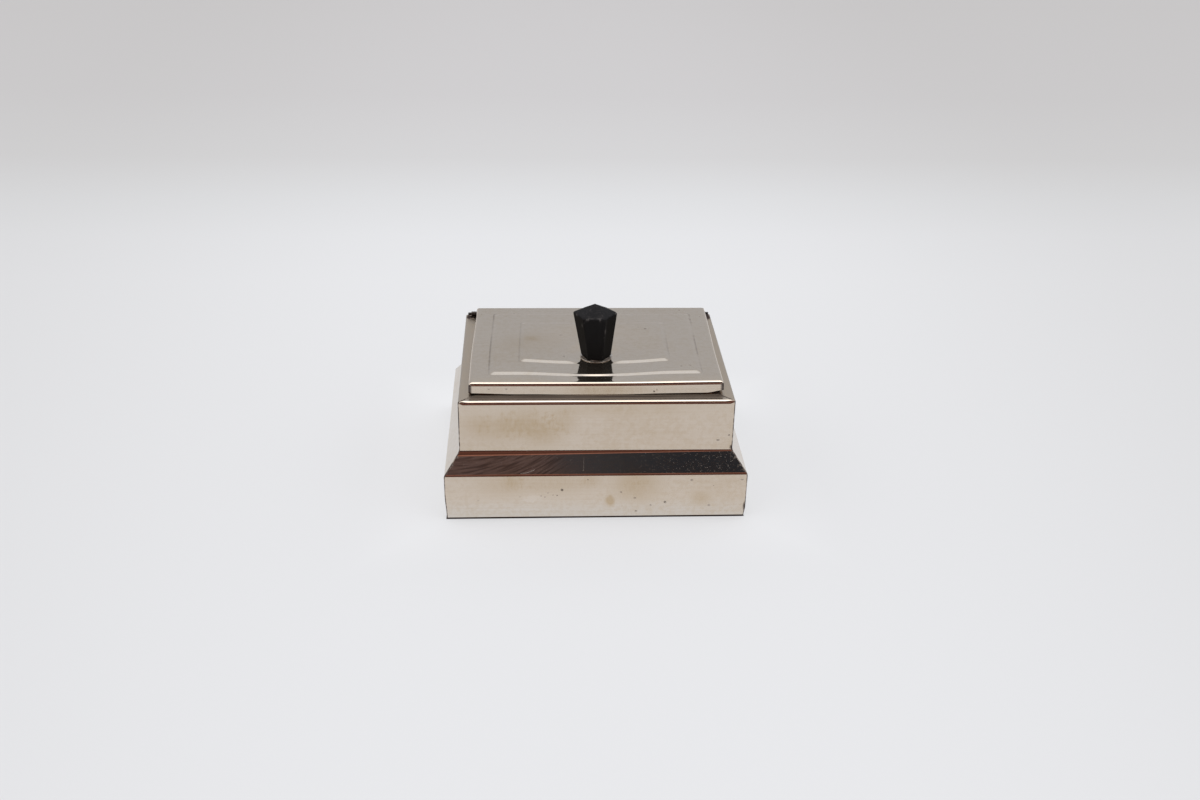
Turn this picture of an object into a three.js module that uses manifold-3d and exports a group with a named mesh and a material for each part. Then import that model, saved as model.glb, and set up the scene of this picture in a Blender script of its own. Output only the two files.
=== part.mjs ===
// Plated metal table box: four folded wall strips, mitred at the corners round a cedar lining, with a
// pressed and stepped lid on a knuckled hinge and a faceted black knob.
// Millimetres, +Z up. The front faces -Y, and the origin is the middle of the footprint, on the table.

import * as THREE from 'three';
import { mergeVertices } from 'three/addons/utils/BufferGeometryUtils.js';
import Module from 'manifold-3d';

// Case: plinth, sloping shoulder, upper walls and flat brim, folded from one thickness of sheet
const PLINTH_WIDTH = 120;
const PLINTH_DEPTH = 95.5;
const PLINTH_HEIGHT = 19.4;
const SHOULDER_RUN = 6;
const SHOULDER_RISE = 7.9;
const UPPER_HEIGHT = 21.8;
const SHEET = 0.6;
const HEM_DEPTH = 9;
const MITRE_GAP = 0.1;

// Inside radii of the case's bends, from the table upwards
const FOOT_BEND = 0.2;
const SHOULDER_BEND = 1.1;
const BRIM_BEND = 1.1;

// Base sheet, lying on the hems
const BASE_THICKNESS = 0.6;
const BASE_CLEARANCE = 0.4;

// Lid: margins of brim left bare round it, its turned-down lip, and the two pressed steps
const LID_SIDE_MARGIN = 4;
const LID_FRONT_MARGIN = 6.4;
const LID_REAR_MARGIN = 3.6;
const LID_LIP = 4.65;
const LID_GAP = 0.45;
const LID_EDGE_BEND = 1;
const LID_CORNER_RADIUS = 0.5;
const RIM_SIDE = 7.5;
const RIM_FRONT = 7.6;
const TERRACE_SIDE = 9.7;
const TERRACE_FRONT = 8;
const STEP_RISE = 0.55;
const STEP_RUN = 2.2;
const STEP_CORNER_RADIUS = 1.2;

// Knob seat: a round dish pressed down to just below the level of the rim, forward of the lid's middle
const SEAT_FORWARD = 11.2;
const SEAT_RADIUS = 6.9;
const SEAT_DEPTH = 0.8;
const SEAT_SLOPE_RUN = 9;

// Cedar lining, standing proud of the brim so that the lid closes over it
const BOARD_THICKNESS = 2.5;
const BOARD_EDGE_RADIUS = 0.8;
const LINING_PROUD = 3;
const LINING_LID_CLEARANCE = 0.8;
const LINING_BRIM_CLEARANCE = 0.3;
const GLUE_GAP = 0.05;

// Hinge: knuckles on one pin, behind the lid's rear lip
const HINGE_LENGTH = 103.4;
const KNUCKLE_COUNT = 7;
const KNUCKLE_GAP = 0.3;
const KNUCKLE_RADIUS = 1;
const HINGE_CLEARANCE = 0.3;
const LEAF_THICKNESS = 0.6;
const LID_LEAF_HEIGHT = 0.8;
const PIN_RADIUS = 0.6;
const PIN_CLEARANCE = 0.05;
const PIN_OVERHANG = 1.3;
const REAR_LIP_RELIEF = 0.7;

// Knob: six-sided, widening upwards to a low pyramid; radii are to the corners
const KNOB_SIDES = 6;
const KNOB_FOOT_RADIUS = 6.35;
const KNOB_TOP_RADIUS = 8.7;
const KNOB_BODY_HEIGHT = 18.8;
const KNOB_PYRAMID_HEIGHT = 3.8;
const KNOB_TIP_RADIUS = 0.3;
const KNOB_BEVEL = 0.4;
const KNOB_TURN = THREE.MathUtils.degToRad(-5);

// Knob fixing: threaded bush, bright washer above the lid, washer and slotted screw below it
const BUSH_RADIUS = 3.4;
const BUSH_LENGTH = 9.5;
const BUSH_GAP = 0.05;
const KNOB_WASHER_RADIUS = 6.6;
const KNOB_WASHER_THICKNESS = 0.5;
const SCREW_RADIUS = 2;
const SCREW_CLEARANCE = 0.1;
const SCREW_HOLE_CLEARANCE = 0.3;
const SCREW_ENGAGEMENT = 7.5;
const SCREW_HEAD_RADIUS = 3.6;
const SCREW_HEAD_HEIGHT = 1.9;
const SCREW_SLOT_WIDTH = 0.9;
const SCREW_SLOT_DEPTH = 0.9;
const SCREW_WASHER_RADIUS = 4.6;
const SCREW_WASHER_THICKNESS = 0.5;
const WASHER_CHAMFER = 0.15;

// Smoothness of round shapes
const BEND_STEPS = 5;
const CORNER_STEPS = 4;
const ROUND_SEGMENTS = 32;
const PIN_SEGMENTS = 16;
const MERGE_DISTANCE = 1e-4;

// Places that follow from the driving dimensions
const brimZ = PLINTH_HEIGHT + SHOULDER_RISE + UPPER_HEIGHT;
const bodyHalfWidth = PLINTH_WIDTH / 2 - SHOULDER_RUN;
const bodyHalfDepth = PLINTH_DEPTH / 2 - SHOULDER_RUN;
const lidHalfWidth = bodyHalfWidth - LID_SIDE_MARGIN;
const lidFrontY = -bodyHalfDepth + LID_FRONT_MARGIN;
const lidRearY = bodyHalfDepth - LID_REAR_MARGIN;
const lidHalfDepth = (lidRearY - lidFrontY) / 2;
const lidMiddleY = (lidFrontY + lidRearY) / 2;
const lipZ = brimZ + LID_GAP;
const rimZ = lipZ + LID_LIP;
const seatY = lidMiddleY - SEAT_FORWARD;
const seatZ = rimZ - SEAT_DEPTH;
const widestMargin = Math.max(LID_SIDE_MARGIN, LID_FRONT_MARGIN, LID_REAR_MARGIN);
const liningMargin = widestMargin + SHEET + LINING_LID_CLEARANCE;
const liningHalfWidth = bodyHalfWidth - liningMargin;
const liningHalfDepth = bodyHalfDepth - liningMargin;
const liningBottomZ = SHEET + BASE_THICKNESS;
const brimInset = SHOULDER_RUN + liningMargin - LINING_BRIM_CLEARANCE;
const reliefHalfWidth = lidHalfWidth - LID_CORNER_RADIUS - SHEET;
const hingeY = lidRearY + HINGE_CLEARANCE + KNUCKLE_RADIUS;
const hingeZ = brimZ + HINGE_CLEARANCE + KNUCKLE_RADIUS;

const wasm = await Module();
wasm.setup();

const nickel = new THREE.MeshStandardMaterial({ color: 0xbfb2a4, roughness: 0.18, metalness: 1 });
const steel = new THREE.MeshStandardMaterial({ color: 0x6f6a66, roughness: 0.4, metalness: 1 });
const brass = new THREE.MeshStandardMaterial({ color: 0xb98d48, roughness: 0.35, metalness: 1 });
const resin = new THREE.MeshStandardMaterial({ color: 0x141213, roughness: 0.3, metalness: 0 });
const cedar = new THREE.MeshStandardMaterial({ color: 0x9a5f3c, roughness: 0.75, metalness: 0 });

// A closed geometry as a solid for cutting and joining; triangles that shrink to a line at a pole drop out.
function solid(geometry) {
  const bare = geometry.clone();
  bare.deleteAttribute('normal');
  bare.deleteAttribute('uv');
  const merged = mergeVertices(bare, MERGE_DISTANCE);
  const corners = merged.index.array;
  const triangles = [];
  for (let i = 0; i < corners.length; i += 3) {
    const [a, b, c] = corners.slice(i, i + 3);
    if (a !== b && b !== c && c !== a) {
      triangles.push(a, b, c);
    }
  }
  return new wasm.Manifold(new wasm.Mesh({
    numProp: 3,
    vertProperties: merged.attributes.position.array,
    triVerts: Uint32Array.from(triangles),
  }));
}

function geometryOf(manifold) {
  const mesh = manifold.getMesh();
  const geometry = new THREE.BufferGeometry();
  geometry.setAttribute('position', new THREE.BufferAttribute(mesh.vertProperties, 3));
  geometry.setIndex(new THREE.BufferAttribute(mesh.triVerts, 1));
  geometry.computeVertexNormals();
  return geometry;
}

// Skin over a stack of level rings, each counter-clockwise from above and listed from the bottom up.
function loft(rings) {
  const count = rings[0].length;
  const top = (rings.length - 1) * count;
  const index = [];
  for (let k = 0; k < rings.length - 1; k += 1) {
    for (let i = 0; i < count; i += 1) {
      const a = k * count + i;
      const b = k * count + (i + 1) % count;
      index.push(a, b, b + count, a, b + count, a + count);
    }
  }
  for (let i = 1; i < count - 1; i += 1) {
    index.push(0, i + 1, i, top, top + i, top + i + 1);
  }
  const geometry = new THREE.BufferGeometry().setFromPoints(rings.flat());
  geometry.setIndex(index);
  geometry.computeVertexNormals();
  return geometry;
}

// A level ring of points round a rectangle with rounded corners.
function roundedRing(halfX, halfY, radius, z) {
  const ring = [];
  for (let quarter = 0; quarter < 4; quarter += 1) {
    const centreX = (quarter === 0 || quarter === 3 ? 1 : -1) * (halfX - radius);
    const centreY = (quarter < 2 ? 1 : -1) * (halfY - radius);
    for (let step = 0; step <= CORNER_STEPS; step += 1) {
      const angle = (quarter + step / CORNER_STEPS) * Math.PI / 2;
      const x = centreX + radius * Math.cos(angle);
      const y = centreY + radius * Math.sin(angle);
      ring.push(new THREE.Vector3(x, y, z));
    }
  }
  return ring;
}

// A level ring at the corners of a regular polygon, with a flat side facing the front before it is turned.
function polygonRing(sides, radius, z, turn) {
  const ring = [];
  for (let i = 0; i < sides; i += 1) {
    const angle = -Math.PI / 2 + (i + 0.5) * 2 * Math.PI / sides + turn;
    ring.push(new THREE.Vector3(radius * Math.cos(angle), radius * Math.sin(angle), z));
  }
  return ring;
}

// A profile of [radius, height] pairs turned about the Z axis.
function turned(profile, segments = ROUND_SEGMENTS) {
  const points = profile.map(([radius, height]) => new THREE.Vector2(radius, height));
  return new THREE.LatheGeometry(points, segments).rotateX(Math.PI / 2);
}

// A section drawn in Y and Z, carried along X with its middle at X = 0.
function carriedAlongX(section, length, segments = BEND_STEPS) {
  const options = { depth: length, bevelEnabled: false, curveSegments: segments };
  const turn = new THREE.Matrix4().makeBasis(
    new THREE.Vector3(0, 1, 0),
    new THREE.Vector3(0, 0, 1),
    new THREE.Vector3(1, 0, 0),
  );
  return new THREE.ExtrudeGeometry(section, options).applyMatrix4(turn).translate(-length / 2, 0, 0);
}

// A block given by its lowest and highest corners.
function block(low, high) {
  const size = high.map((value, axis) => value - low[axis]);
  const middle = high.map((value, axis) => (value + low[axis]) / 2);
  return new THREE.BoxGeometry(...size).translate(...middle);
}

// Unit vector to the right of a direction of travel.
function rightOf(direction) {
  return new THREE.Vector2(direction.y, -direction.x);
}

// Points along straight runs joined by arcs. The sheet lies to the right of the path, so an offset of one
// sheet gives its inner face: bends to the right tighten by the offset and bends to the left widen.
function bentPath(corners, offset) {
  const last = corners.length - 1;
  const points = [];
  corners.forEach(({ at, bend }, i) => {
    const before = at.clone().sub(corners[Math.max(i - 1, 0)].at).normalize();
    const after = corners[Math.min(i + 1, last)].at.clone().sub(at).normalize();
    if (i === 0 || i === last) {
      const along = i === 0 ? after : before;
      points.push(at.clone().addScaledVector(rightOf(along), offset));
      return;
    }
    const side = before.cross(after) < 0 ? 1 : -1;
    const radius = side > 0 ? bend + SHEET : bend;
    const bendAngle = Math.acos(before.dot(after));
    const centre = at.clone()
      .addScaledVector(before, -radius * Math.tan(bendAngle / 2))
      .addScaledVector(rightOf(before), side * radius);
    const spoke = rightOf(before).multiplyScalar(-side * radius + offset);
    for (let step = 0; step <= BEND_STEPS; step += 1) {
      const angle = -side * bendAngle * step / BEND_STEPS;
      points.push(spoke.clone().rotateAround(new THREE.Vector2(), angle).add(centre));
    }
  });
  return points;
}

// Section of a case wall: inset from the plinth's face against height, from the hem to the brim's inner edge.
function wallSection() {
  const corners = [
    { at: new THREE.Vector2(HEM_DEPTH, 0) },
    { at: new THREE.Vector2(0, 0), bend: FOOT_BEND },
    { at: new THREE.Vector2(0, PLINTH_HEIGHT), bend: SHOULDER_BEND },
    { at: new THREE.Vector2(SHOULDER_RUN, PLINTH_HEIGHT + SHOULDER_RISE), bend: SHOULDER_BEND },
    { at: new THREE.Vector2(SHOULDER_RUN, brimZ), bend: BRIM_BEND },
    { at: new THREE.Vector2(brimInset, brimZ) },
  ];
  const outside = bentPath(corners, 0);
  const inside = bentPath(corners, SHEET);
  return new THREE.Shape([...outside, ...inside.reverse()]);
}

// One wall facing -Y, its ends cut on the mitre: the further in a point lies, the shorter the wall is there.
function wall(halfLength, halfSpan) {
  const geometry = new THREE.ExtrudeGeometry(wallSection(), { depth: 1, bevelEnabled: false });
  const position = geometry.attributes.position;
  const seam = MITRE_GAP / Math.SQRT2;
  for (let i = 0; i < position.count; i += 1) {
    const inset = position.getX(i);
    const height = position.getY(i);
    const end = halfLength - inset - seam;
    position.setXYZ(i, (2 * position.getZ(i) - 1) * end, inset - halfSpan, height);
  }
  geometry.computeVertexNormals();
  return geometry;
}

function baseSheet() {
  const inset = FOOT_BEND + SHEET + BASE_CLEARANCE;
  const x = PLINTH_WIDTH / 2 - inset;
  const y = PLINTH_DEPTH / 2 - inset;
  return block([-x, -y, SHEET], [x, y, liningBottomZ]);
}

// A lining board facing -Y, standing on the base sheet, with its two upper edges rounded over.
function liningBoard(length, outerY) {
  const r = BOARD_EDGE_RADIUS;
  const innerY = outerY + BOARD_THICKNESS;
  const topZ = brimZ + LINING_PROUD;
  const section = new THREE.Shape();
  section.moveTo(outerY, liningBottomZ);
  section.lineTo(innerY, liningBottomZ);
  section.absarc(innerY - r, topZ - r, r, 0, Math.PI / 2, false);
  section.absarc(outerY + r, topZ - r, r, Math.PI / 2, Math.PI, false);
  return carriedAlongX(section, length);
}

function liningFloor() {
  const x = liningHalfWidth - BOARD_THICKNESS - GLUE_GAP;
  const y = liningHalfDepth - BOARD_THICKNESS - GLUE_GAP;
  return block([-x, -y, liningBottomZ], [x, y, liningBottomZ + BOARD_THICKNESS]);
}

// Outside of the lid, or with a drop of one sheet the space inside it. The lip rises to a rounded edge, and
// two sloping steps lead in to the panel; each fold moves inward with the drop so that the sheet keeps even.
function lidForm(drop, footZ) {
  const edge = LID_EDGE_BEND + SHEET - drop;
  const fold = drop * Math.tan(Math.atan2(STEP_RISE, STEP_RUN) / 2);
  const ring = (insetX, insetY, radius, z) => (
    roundedRing(lidHalfWidth - insetX, lidHalfDepth - insetY, radius, z)
  );
  const rings = [ring(drop, drop, LID_CORNER_RADIUS, footZ)];
  for (let step = 0; step <= BEND_STEPS; step += 1) {
    const angle = Math.PI / 2 * step / BEND_STEPS;
    const inset = drop + edge * (1 - Math.cos(angle));
    const z = rimZ - drop - edge * (1 - Math.sin(angle));
    rings.push(ring(inset, inset, LID_CORNER_RADIUS, z));
  }
  for (let level = 0; level < 2; level += 1) {
    const insetX = RIM_SIDE + level * (STEP_RUN + TERRACE_SIDE) + fold;
    const insetY = RIM_FRONT + level * (STEP_RUN + TERRACE_FRONT) + fold;
    const z = rimZ - drop + level * STEP_RISE;
    rings.push(ring(insetX, insetY, STEP_CORNER_RADIUS, z));
    rings.push(ring(insetX + STEP_RUN, insetY + STEP_RUN, STEP_CORNER_RADIUS, z + STEP_RISE));
  }
  return loft(rings).translate(0, lidMiddleY, 0);
}

// The dish under the knob, as the cone of metal that is pressed out of the way above it.
function seatCone(drop) {
  const depth = SEAT_DEPTH + 2 * STEP_RISE;
  const slope = Math.atan2(depth, SEAT_SLOPE_RUN);
  const floorRadius = SEAT_RADIUS + drop * Math.tan(slope / 2);
  const floorZ = seatZ - drop;
  const height = 2 * depth;
  const topRadius = floorRadius + height / Math.tan(slope);
  const cone = turned([[0, floorZ], [floorRadius, floorZ], [topRadius, floorZ + height], [0, floorZ + height]]);
  return cone.translate(0, seatY, 0);
}

function lidShell() {
  const outside = solid(lidForm(0, lipZ)).subtract(solid(seatCone(0)));
  const inside = solid(lidForm(SHEET, lipZ - LID_LIP)).subtract(solid(seatCone(SHEET)));
  const holeRadius = SCREW_RADIUS + SCREW_HOLE_CLEARANCE;
  const hole = new THREE.CylinderGeometry(holeRadius, holeRadius, LID_LIP, ROUND_SEGMENTS)
    .rotateX(Math.PI / 2)
    .translate(0, seatY, seatZ);
  const relief = block(
    [-reliefHalfWidth, lidRearY - LID_CORNER_RADIUS - SHEET, lipZ - LID_GAP],
    [reliefHalfWidth, lidRearY + SHEET, brimZ + LEAF_THICKNESS + REAR_LIP_RELIEF],
  );
  return geometryOf(outside.subtract(inside).subtract(solid(hole)).subtract(solid(relief)));
}

// Ends along X of one knuckle, counted from the left.
function knuckleSpan(position) {
  const pitch = HINGE_LENGTH / KNUCKLE_COUNT;
  const start = -HINGE_LENGTH / 2 + position * pitch;
  return [start + KNUCKLE_GAP / 2, start + pitch - KNUCKLE_GAP / 2];
}

// A hinge leaf: a strip, and on every second knuckle a rolled eye with the tab that joins it to the strip.
function hingeLeaf(strip, firstKnuckle, tab) {
  const bore = (PIN_RADIUS + PIN_CLEARANCE) / Math.cos(Math.PI / PIN_SEGMENTS);
  const eye = new THREE.Shape().absarc(hingeY, hingeZ, KNUCKLE_RADIUS, 0, 2 * Math.PI, false);
  eye.holes.push(new THREE.Path().absarc(hingeY, hingeZ, bore, 0, 2 * Math.PI, true));
  const pinHole = new THREE.CylinderGeometry(bore, bore, 2 * HINGE_LENGTH, PIN_SEGMENTS)
    .rotateZ(Math.PI / 2)
    .translate(0, hingeY, hingeZ);
  const stripHalf = strip.high[0];
  let leaf = solid(block(strip.low, strip.high));
  for (let position = firstKnuckle; position < KNUCKLE_COUNT; position += 2) {
    const [left, right] = knuckleSpan(position);
    const rolled = carriedAlongX(eye, right - left, PIN_SEGMENTS / 2).translate((left + right) / 2, 0, 0);
    const joined = block(
      [Math.max(left, -stripHalf), ...tab.low],
      [Math.min(right, stripHalf), ...tab.high],
    );
    leaf = leaf.add(solid(joined).subtract(solid(pinHole))).add(solid(rolled));
  }
  return geometryOf(leaf);
}

// The case's leaf lies on the brim, in the relief under the lid's rear lip.
function bodyLeaf() {
  const half = reliefHalfWidth - HINGE_CLEARANCE;
  const frontY = liningHalfDepth + LINING_BRIM_CLEARANCE;
  const rearY = hingeY - KNUCKLE_RADIUS - HINGE_CLEARANCE;
  const topZ = brimZ + LEAF_THICKNESS;
  const strip = { low: [-half, frontY, brimZ], high: [half, rearY, topZ] };
  return hingeLeaf(strip, 0, { low: [rearY, brimZ], high: [hingeY, topZ] });
}

// The lid's leaf stands against the outside of its rear lip.
function lidLeaf() {
  const half = lidHalfWidth - LID_CORNER_RADIUS - HINGE_CLEARANCE;
  const rearY = lidRearY + LEAF_THICKNESS;
  const bottomZ = hingeZ + KNUCKLE_RADIUS + HINGE_CLEARANCE;
  const strip = { low: [-half, lidRearY, bottomZ], high: [half, rearY, bottomZ + LID_LEAF_HEIGHT] };
  return hingeLeaf(strip, 1, { low: [lidRearY, hingeZ], high: [rearY, bottomZ] });
}

function hingePin() {
  const length = HINGE_LENGTH + 2 * PIN_OVERHANG;
  return new THREE.CylinderGeometry(PIN_RADIUS, PIN_RADIUS, length, PIN_SEGMENTS)
    .rotateZ(Math.PI / 2)
    .translate(0, hingeY, hingeZ);
}

// A flat washer from z = 0 upwards, with its outer upper edge eased.
function washer(outerRadius, thickness) {
  const hole = SCREW_RADIUS + SCREW_HOLE_CLEARANCE;
  return turned([
    [hole, 0],
    [outerRadius, 0],
    [outerRadius, thickness - WASHER_CHAMFER],
    [outerRadius - WASHER_CHAMFER, thickness],
    [hole, thickness],
    [hole, 0],
  ]);
}

function knob() {
  const ring = (radius, z) => polygonRing(KNOB_SIDES, radius, z, KNOB_TURN);
  const body = loft([
    ring(KNOB_FOOT_RADIUS - KNOB_BEVEL, 0),
    ring(KNOB_FOOT_RADIUS, KNOB_BEVEL),
    ring(KNOB_TOP_RADIUS, KNOB_BODY_HEIGHT - KNOB_BEVEL),
    ring(KNOB_TOP_RADIUS - KNOB_BEVEL, KNOB_BODY_HEIGHT),
    ring(KNOB_TIP_RADIUS, KNOB_BODY_HEIGHT + KNOB_PYRAMID_HEIGHT),
  ]);
  const radius = BUSH_RADIUS + BUSH_GAP;
  const depth = BUSH_LENGTH + BUSH_GAP;
  const socket = new THREE.CylinderGeometry(radius, radius, 2 * depth, ROUND_SEGMENTS).rotateX(Math.PI / 2);
  return geometryOf(solid(body).subtract(solid(socket)));
}

function knobBush() {
  const bore = SCREW_RADIUS + SCREW_CLEARANCE;
  return turned([[bore, 0], [BUSH_RADIUS, 0], [BUSH_RADIUS, BUSH_LENGTH], [bore, BUSH_LENGTH], [bore, 0]]);
}

// A slotted screw with a rounded head, its head's bearing face at z = 0 and its shank upwards.
function knobScrew(shank) {
  const domed = SCREW_HEAD_HEIGHT / 3;
  const form = turned([
    [0, -SCREW_HEAD_HEIGHT],
    [SCREW_HEAD_RADIUS - domed, -SCREW_HEAD_HEIGHT],
    [SCREW_HEAD_RADIUS, domed - SCREW_HEAD_HEIGHT],
    [SCREW_HEAD_RADIUS, 0],
    [SCREW_RADIUS, 0],
    [SCREW_RADIUS, shank],
    [0, shank],
  ]);
  const slot = block(
    [-2 * SCREW_HEAD_RADIUS, -SCREW_SLOT_WIDTH / 2, -2 * SCREW_HEAD_HEIGHT],
    [2 * SCREW_HEAD_RADIUS, SCREW_SLOT_WIDTH / 2, SCREW_SLOT_DEPTH - SCREW_HEAD_HEIGHT],
  );
  return geometryOf(solid(form).subtract(solid(slot)));
}

function add(group, name, geometry, material) {
  const mesh = new THREE.Mesh(geometry, material);
  mesh.name = name;
  group.add(mesh);
  return mesh;
}

const box = new THREE.Group();
const lid = new THREE.Group();
const knobFixing = new THREE.Group();
knobFixing.position.set(0, seatY, seatZ);
lid.add(knobFixing);
box.add(lid);

// Case walls and lining boards share the same turns about Z: front, right, rear and left
const frontBoardLength = 2 * liningHalfWidth;
const sideBoardLength = 2 * (liningHalfDepth - BOARD_THICKNESS - GLUE_GAP);
['front', 'right', 'rear', 'left'].forEach((side, quarter) => {
  const acrossFront = quarter % 2 === 0;
  const caseWall = acrossFront
    ? wall(PLINTH_WIDTH / 2, PLINTH_DEPTH / 2)
    : wall(PLINTH_DEPTH / 2, PLINTH_WIDTH / 2);
  const board = acrossFront
    ? liningBoard(frontBoardLength, -liningHalfDepth)
    : liningBoard(sideBoardLength, -liningHalfWidth);
  add(box, `${side}_wall`, caseWall, nickel).rotation.z = quarter * Math.PI / 2;
  add(box, `lining_${side}`, board, cedar).rotation.z = quarter * Math.PI / 2;
});
add(box, 'base_plate', baseSheet(), nickel);
add(box, 'lining_floor', liningFloor(), cedar);
add(box, 'hinge_body_leaf', bodyLeaf(), steel);
add(box, 'hinge_pin', hingePin(), steel);

add(lid, 'lid_shell', lidShell(), nickel);
add(lid, 'hinge_lid_leaf', lidLeaf(), steel);
add(knobFixing, 'knob_washer', washer(KNOB_WASHER_RADIUS, KNOB_WASHER_THICKNESS), nickel);
add(knobFixing, 'knob', knob(), resin).position.z = KNOB_WASHER_THICKNESS;
add(knobFixing, 'knob_bush', knobBush(), brass).position.z = KNOB_WASHER_THICKNESS;
const screwWasherZ = -SHEET - SCREW_WASHER_THICKNESS;
const screwShank = -screwWasherZ + KNOB_WASHER_THICKNESS + SCREW_ENGAGEMENT;
add(knobFixing, 'screw_washer', washer(SCREW_WASHER_RADIUS, SCREW_WASHER_THICKNESS), steel)
  .position.z = screwWasherZ;
add(knobFixing, 'knob_screw', knobScrew(screwShank), steel).position.z = screwWasherZ;

export default box;
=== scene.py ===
"""Looks of a plated table box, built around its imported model: folded nickel walls, a pressed lid on a
knuckled hinge, a six-sided black knob and a cedar lining. Lengths are in millimetres up to where a mesh is
made or a wear spot is placed, and in metres inside the materials."""

import math

import bmesh
import bpy
import numpy as np
from mathutils import Matrix, Vector


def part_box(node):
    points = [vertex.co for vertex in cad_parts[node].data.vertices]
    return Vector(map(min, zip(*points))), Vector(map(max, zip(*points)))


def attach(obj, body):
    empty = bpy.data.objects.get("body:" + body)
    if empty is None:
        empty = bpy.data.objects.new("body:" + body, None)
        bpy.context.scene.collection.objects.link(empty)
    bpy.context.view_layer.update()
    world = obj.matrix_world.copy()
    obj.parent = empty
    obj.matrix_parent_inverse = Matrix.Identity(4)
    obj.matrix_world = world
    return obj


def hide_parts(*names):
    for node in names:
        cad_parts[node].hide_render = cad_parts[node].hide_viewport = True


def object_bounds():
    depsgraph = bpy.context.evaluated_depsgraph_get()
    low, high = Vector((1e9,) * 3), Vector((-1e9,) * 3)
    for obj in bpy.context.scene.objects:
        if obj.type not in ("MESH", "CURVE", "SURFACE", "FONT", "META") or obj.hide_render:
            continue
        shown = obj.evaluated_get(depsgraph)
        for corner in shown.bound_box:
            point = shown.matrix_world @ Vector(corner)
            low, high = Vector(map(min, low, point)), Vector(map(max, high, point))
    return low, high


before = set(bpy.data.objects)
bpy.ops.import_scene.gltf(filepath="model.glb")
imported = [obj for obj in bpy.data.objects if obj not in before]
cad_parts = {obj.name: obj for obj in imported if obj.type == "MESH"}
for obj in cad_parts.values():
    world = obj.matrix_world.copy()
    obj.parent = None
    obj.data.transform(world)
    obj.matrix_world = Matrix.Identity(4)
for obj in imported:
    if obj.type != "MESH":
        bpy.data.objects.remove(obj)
cad_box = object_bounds()

MM = 0.001


def node_box(node):
    """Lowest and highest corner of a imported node, in millimetres."""
    low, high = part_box(node)
    return np.array(low) / MM, np.array(high) / MM


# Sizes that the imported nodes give
HALF_WIDTH, HALF_DEPTH = np.array(cad_box[1])[:2] / MM
BRIM_Z = node_box("front_wall")[1][2]
LID_LOW, LID_HIGH = node_box("lid_shell")
WASHER_LOW, WASHER_HIGH = node_box("knob_washer")
SCREW_WASHER_LOW, SCREW_WASHER_HIGH = node_box("screw_washer")
SCREW_LOW, SCREW_HIGH = node_box("knob_screw")
KNOB_LOW, KNOB_HIGH = node_box("knob")
PIN_LOW, PIN_HIGH = node_box("hinge_pin")
BODY_LEAF_LOW, BODY_LEAF_HIGH = node_box("hinge_body_leaf")
LID_LEAF_LOW, LID_LEAF_HIGH = node_box("hinge_lid_leaf")
SEAT = ((WASHER_LOW + WASHER_HIGH) / 2)[:2]

# Folded walls, with bends measured on the outer face
SHEET = 0.6
PLINTH_HEIGHT = 19.4
SHOULDER_RUN = 6
SHOULDER_RISE = 7.9
HEM_DEPTH = 9
BRIM_INSET = 13.5
FOOT_BEND = 0.8
PLINTH_BEND = 2.4
HOLLOW_BEND = 3.5
FRONT_HOLLOW_BENDS = (6.6, 1.9)
BRIM_BEND = 1.7
TIGHT_BRIM_BEND = 0.4
BRIM_BEND_FADE = (0.1, 0.9)
MITRE_GAP = 0.1
MITRE_EASE = 0.25
WAVE_HEIGHT = 0.012
WAVES = ((13, 17, 1), (7.3, -9, 0.7), (4.1, 6.3, 0.5))

# Wear of the walls: the knocked-in corners' depth and height, and where along the section or the wall dirt,
# and the painted shadow under the lid's lip, begins and where it is full; the shoulder's slope is told by how
# far a face looks up
LEFT_DENT = (0.6, 12)
RIGHT_DENT = (0.5, 4)
DENT_REACH = 10
SEAM_REACH = 0.8
DULL_RISE = (7.4, 8.4)
SIDE_DULL_RISE = (6.1, 6.6)
DUST_AND_SHADE_RISE = (7.9, 9.8)
DUST_AND_SHADE_FALL = (12.2, 11.5)
DUST_AND_SHADE_ENDS = LID_HIGH[0] + np.array([0.9, 0.4])
SLOPE_RISE = (0.54, 0.59)
SLOPE_FALL = (0.75, 0.65)

# Pressed lid; pairs are for the sides and for the front and rear
LID_BEND = 1.6
LID_CORNER = 0.35
RIM = np.array([7.5, 7.6])
TERRACE = np.array([9.7, 8])
STEP_RUN = 2.2
STEP_RISE = 0.55
STEP_CORNER = 1.2
STEP_EASE = 0.2
SCREW_HOLE = 2.3
SEAT_RADIUS = 6.9
SEAT_EASE = 6
DISH_DEPTH = 1.3
DISH_REACH = 25.5
LIP_FLARE = math.radians(12)
LIP_FLARE_REACH = 4
REAR_RELIEF = 0.85

# Bends, slips, dirt and painted shade of this one lid: dirt with painted shade along the steps' feet at the
# sides, and painted shade on the lip's front corners; starts are shares of its half width, and dirt and shade
# begin and are full at a distance
LEFT_CORNER_LIFT = 0.5
LEFT_CORNER_START = -0.6
RIGHT_CORNER_LIFT = 1
RIGHT_CORNER_START = 0.86
CORNER_LIFT_REACH = 8
RIGHT_SIDE_LIFT = 0.3
RIGHT_SIDE_START = 0.2
FRONT_DROP = 0.18
FRONT_BOW = 0.17
FRONT_HOLD_REACH = 5
REAR_SLIP = 0.9
REAR_SLIP_REACH = 20
STEP_ADVANCE = 0.8
STEP_PINCH = 0.32
STEP_PINCH_REACH = 11
STEP_DIRT_AND_SHADE = (0.4, 0.1)
INNER_STEP_DIRT_AND_SHADE = 0.4
SIDE_DIRT_AND_SHADE = np.array([1, 0.2])
LIP_END_WIDTH = np.array([1.2, 0.6])
LIP_END_DEPTH = np.array([1, 0.6])
LIP_END_DROP = np.array([0.5, 1])
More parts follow.
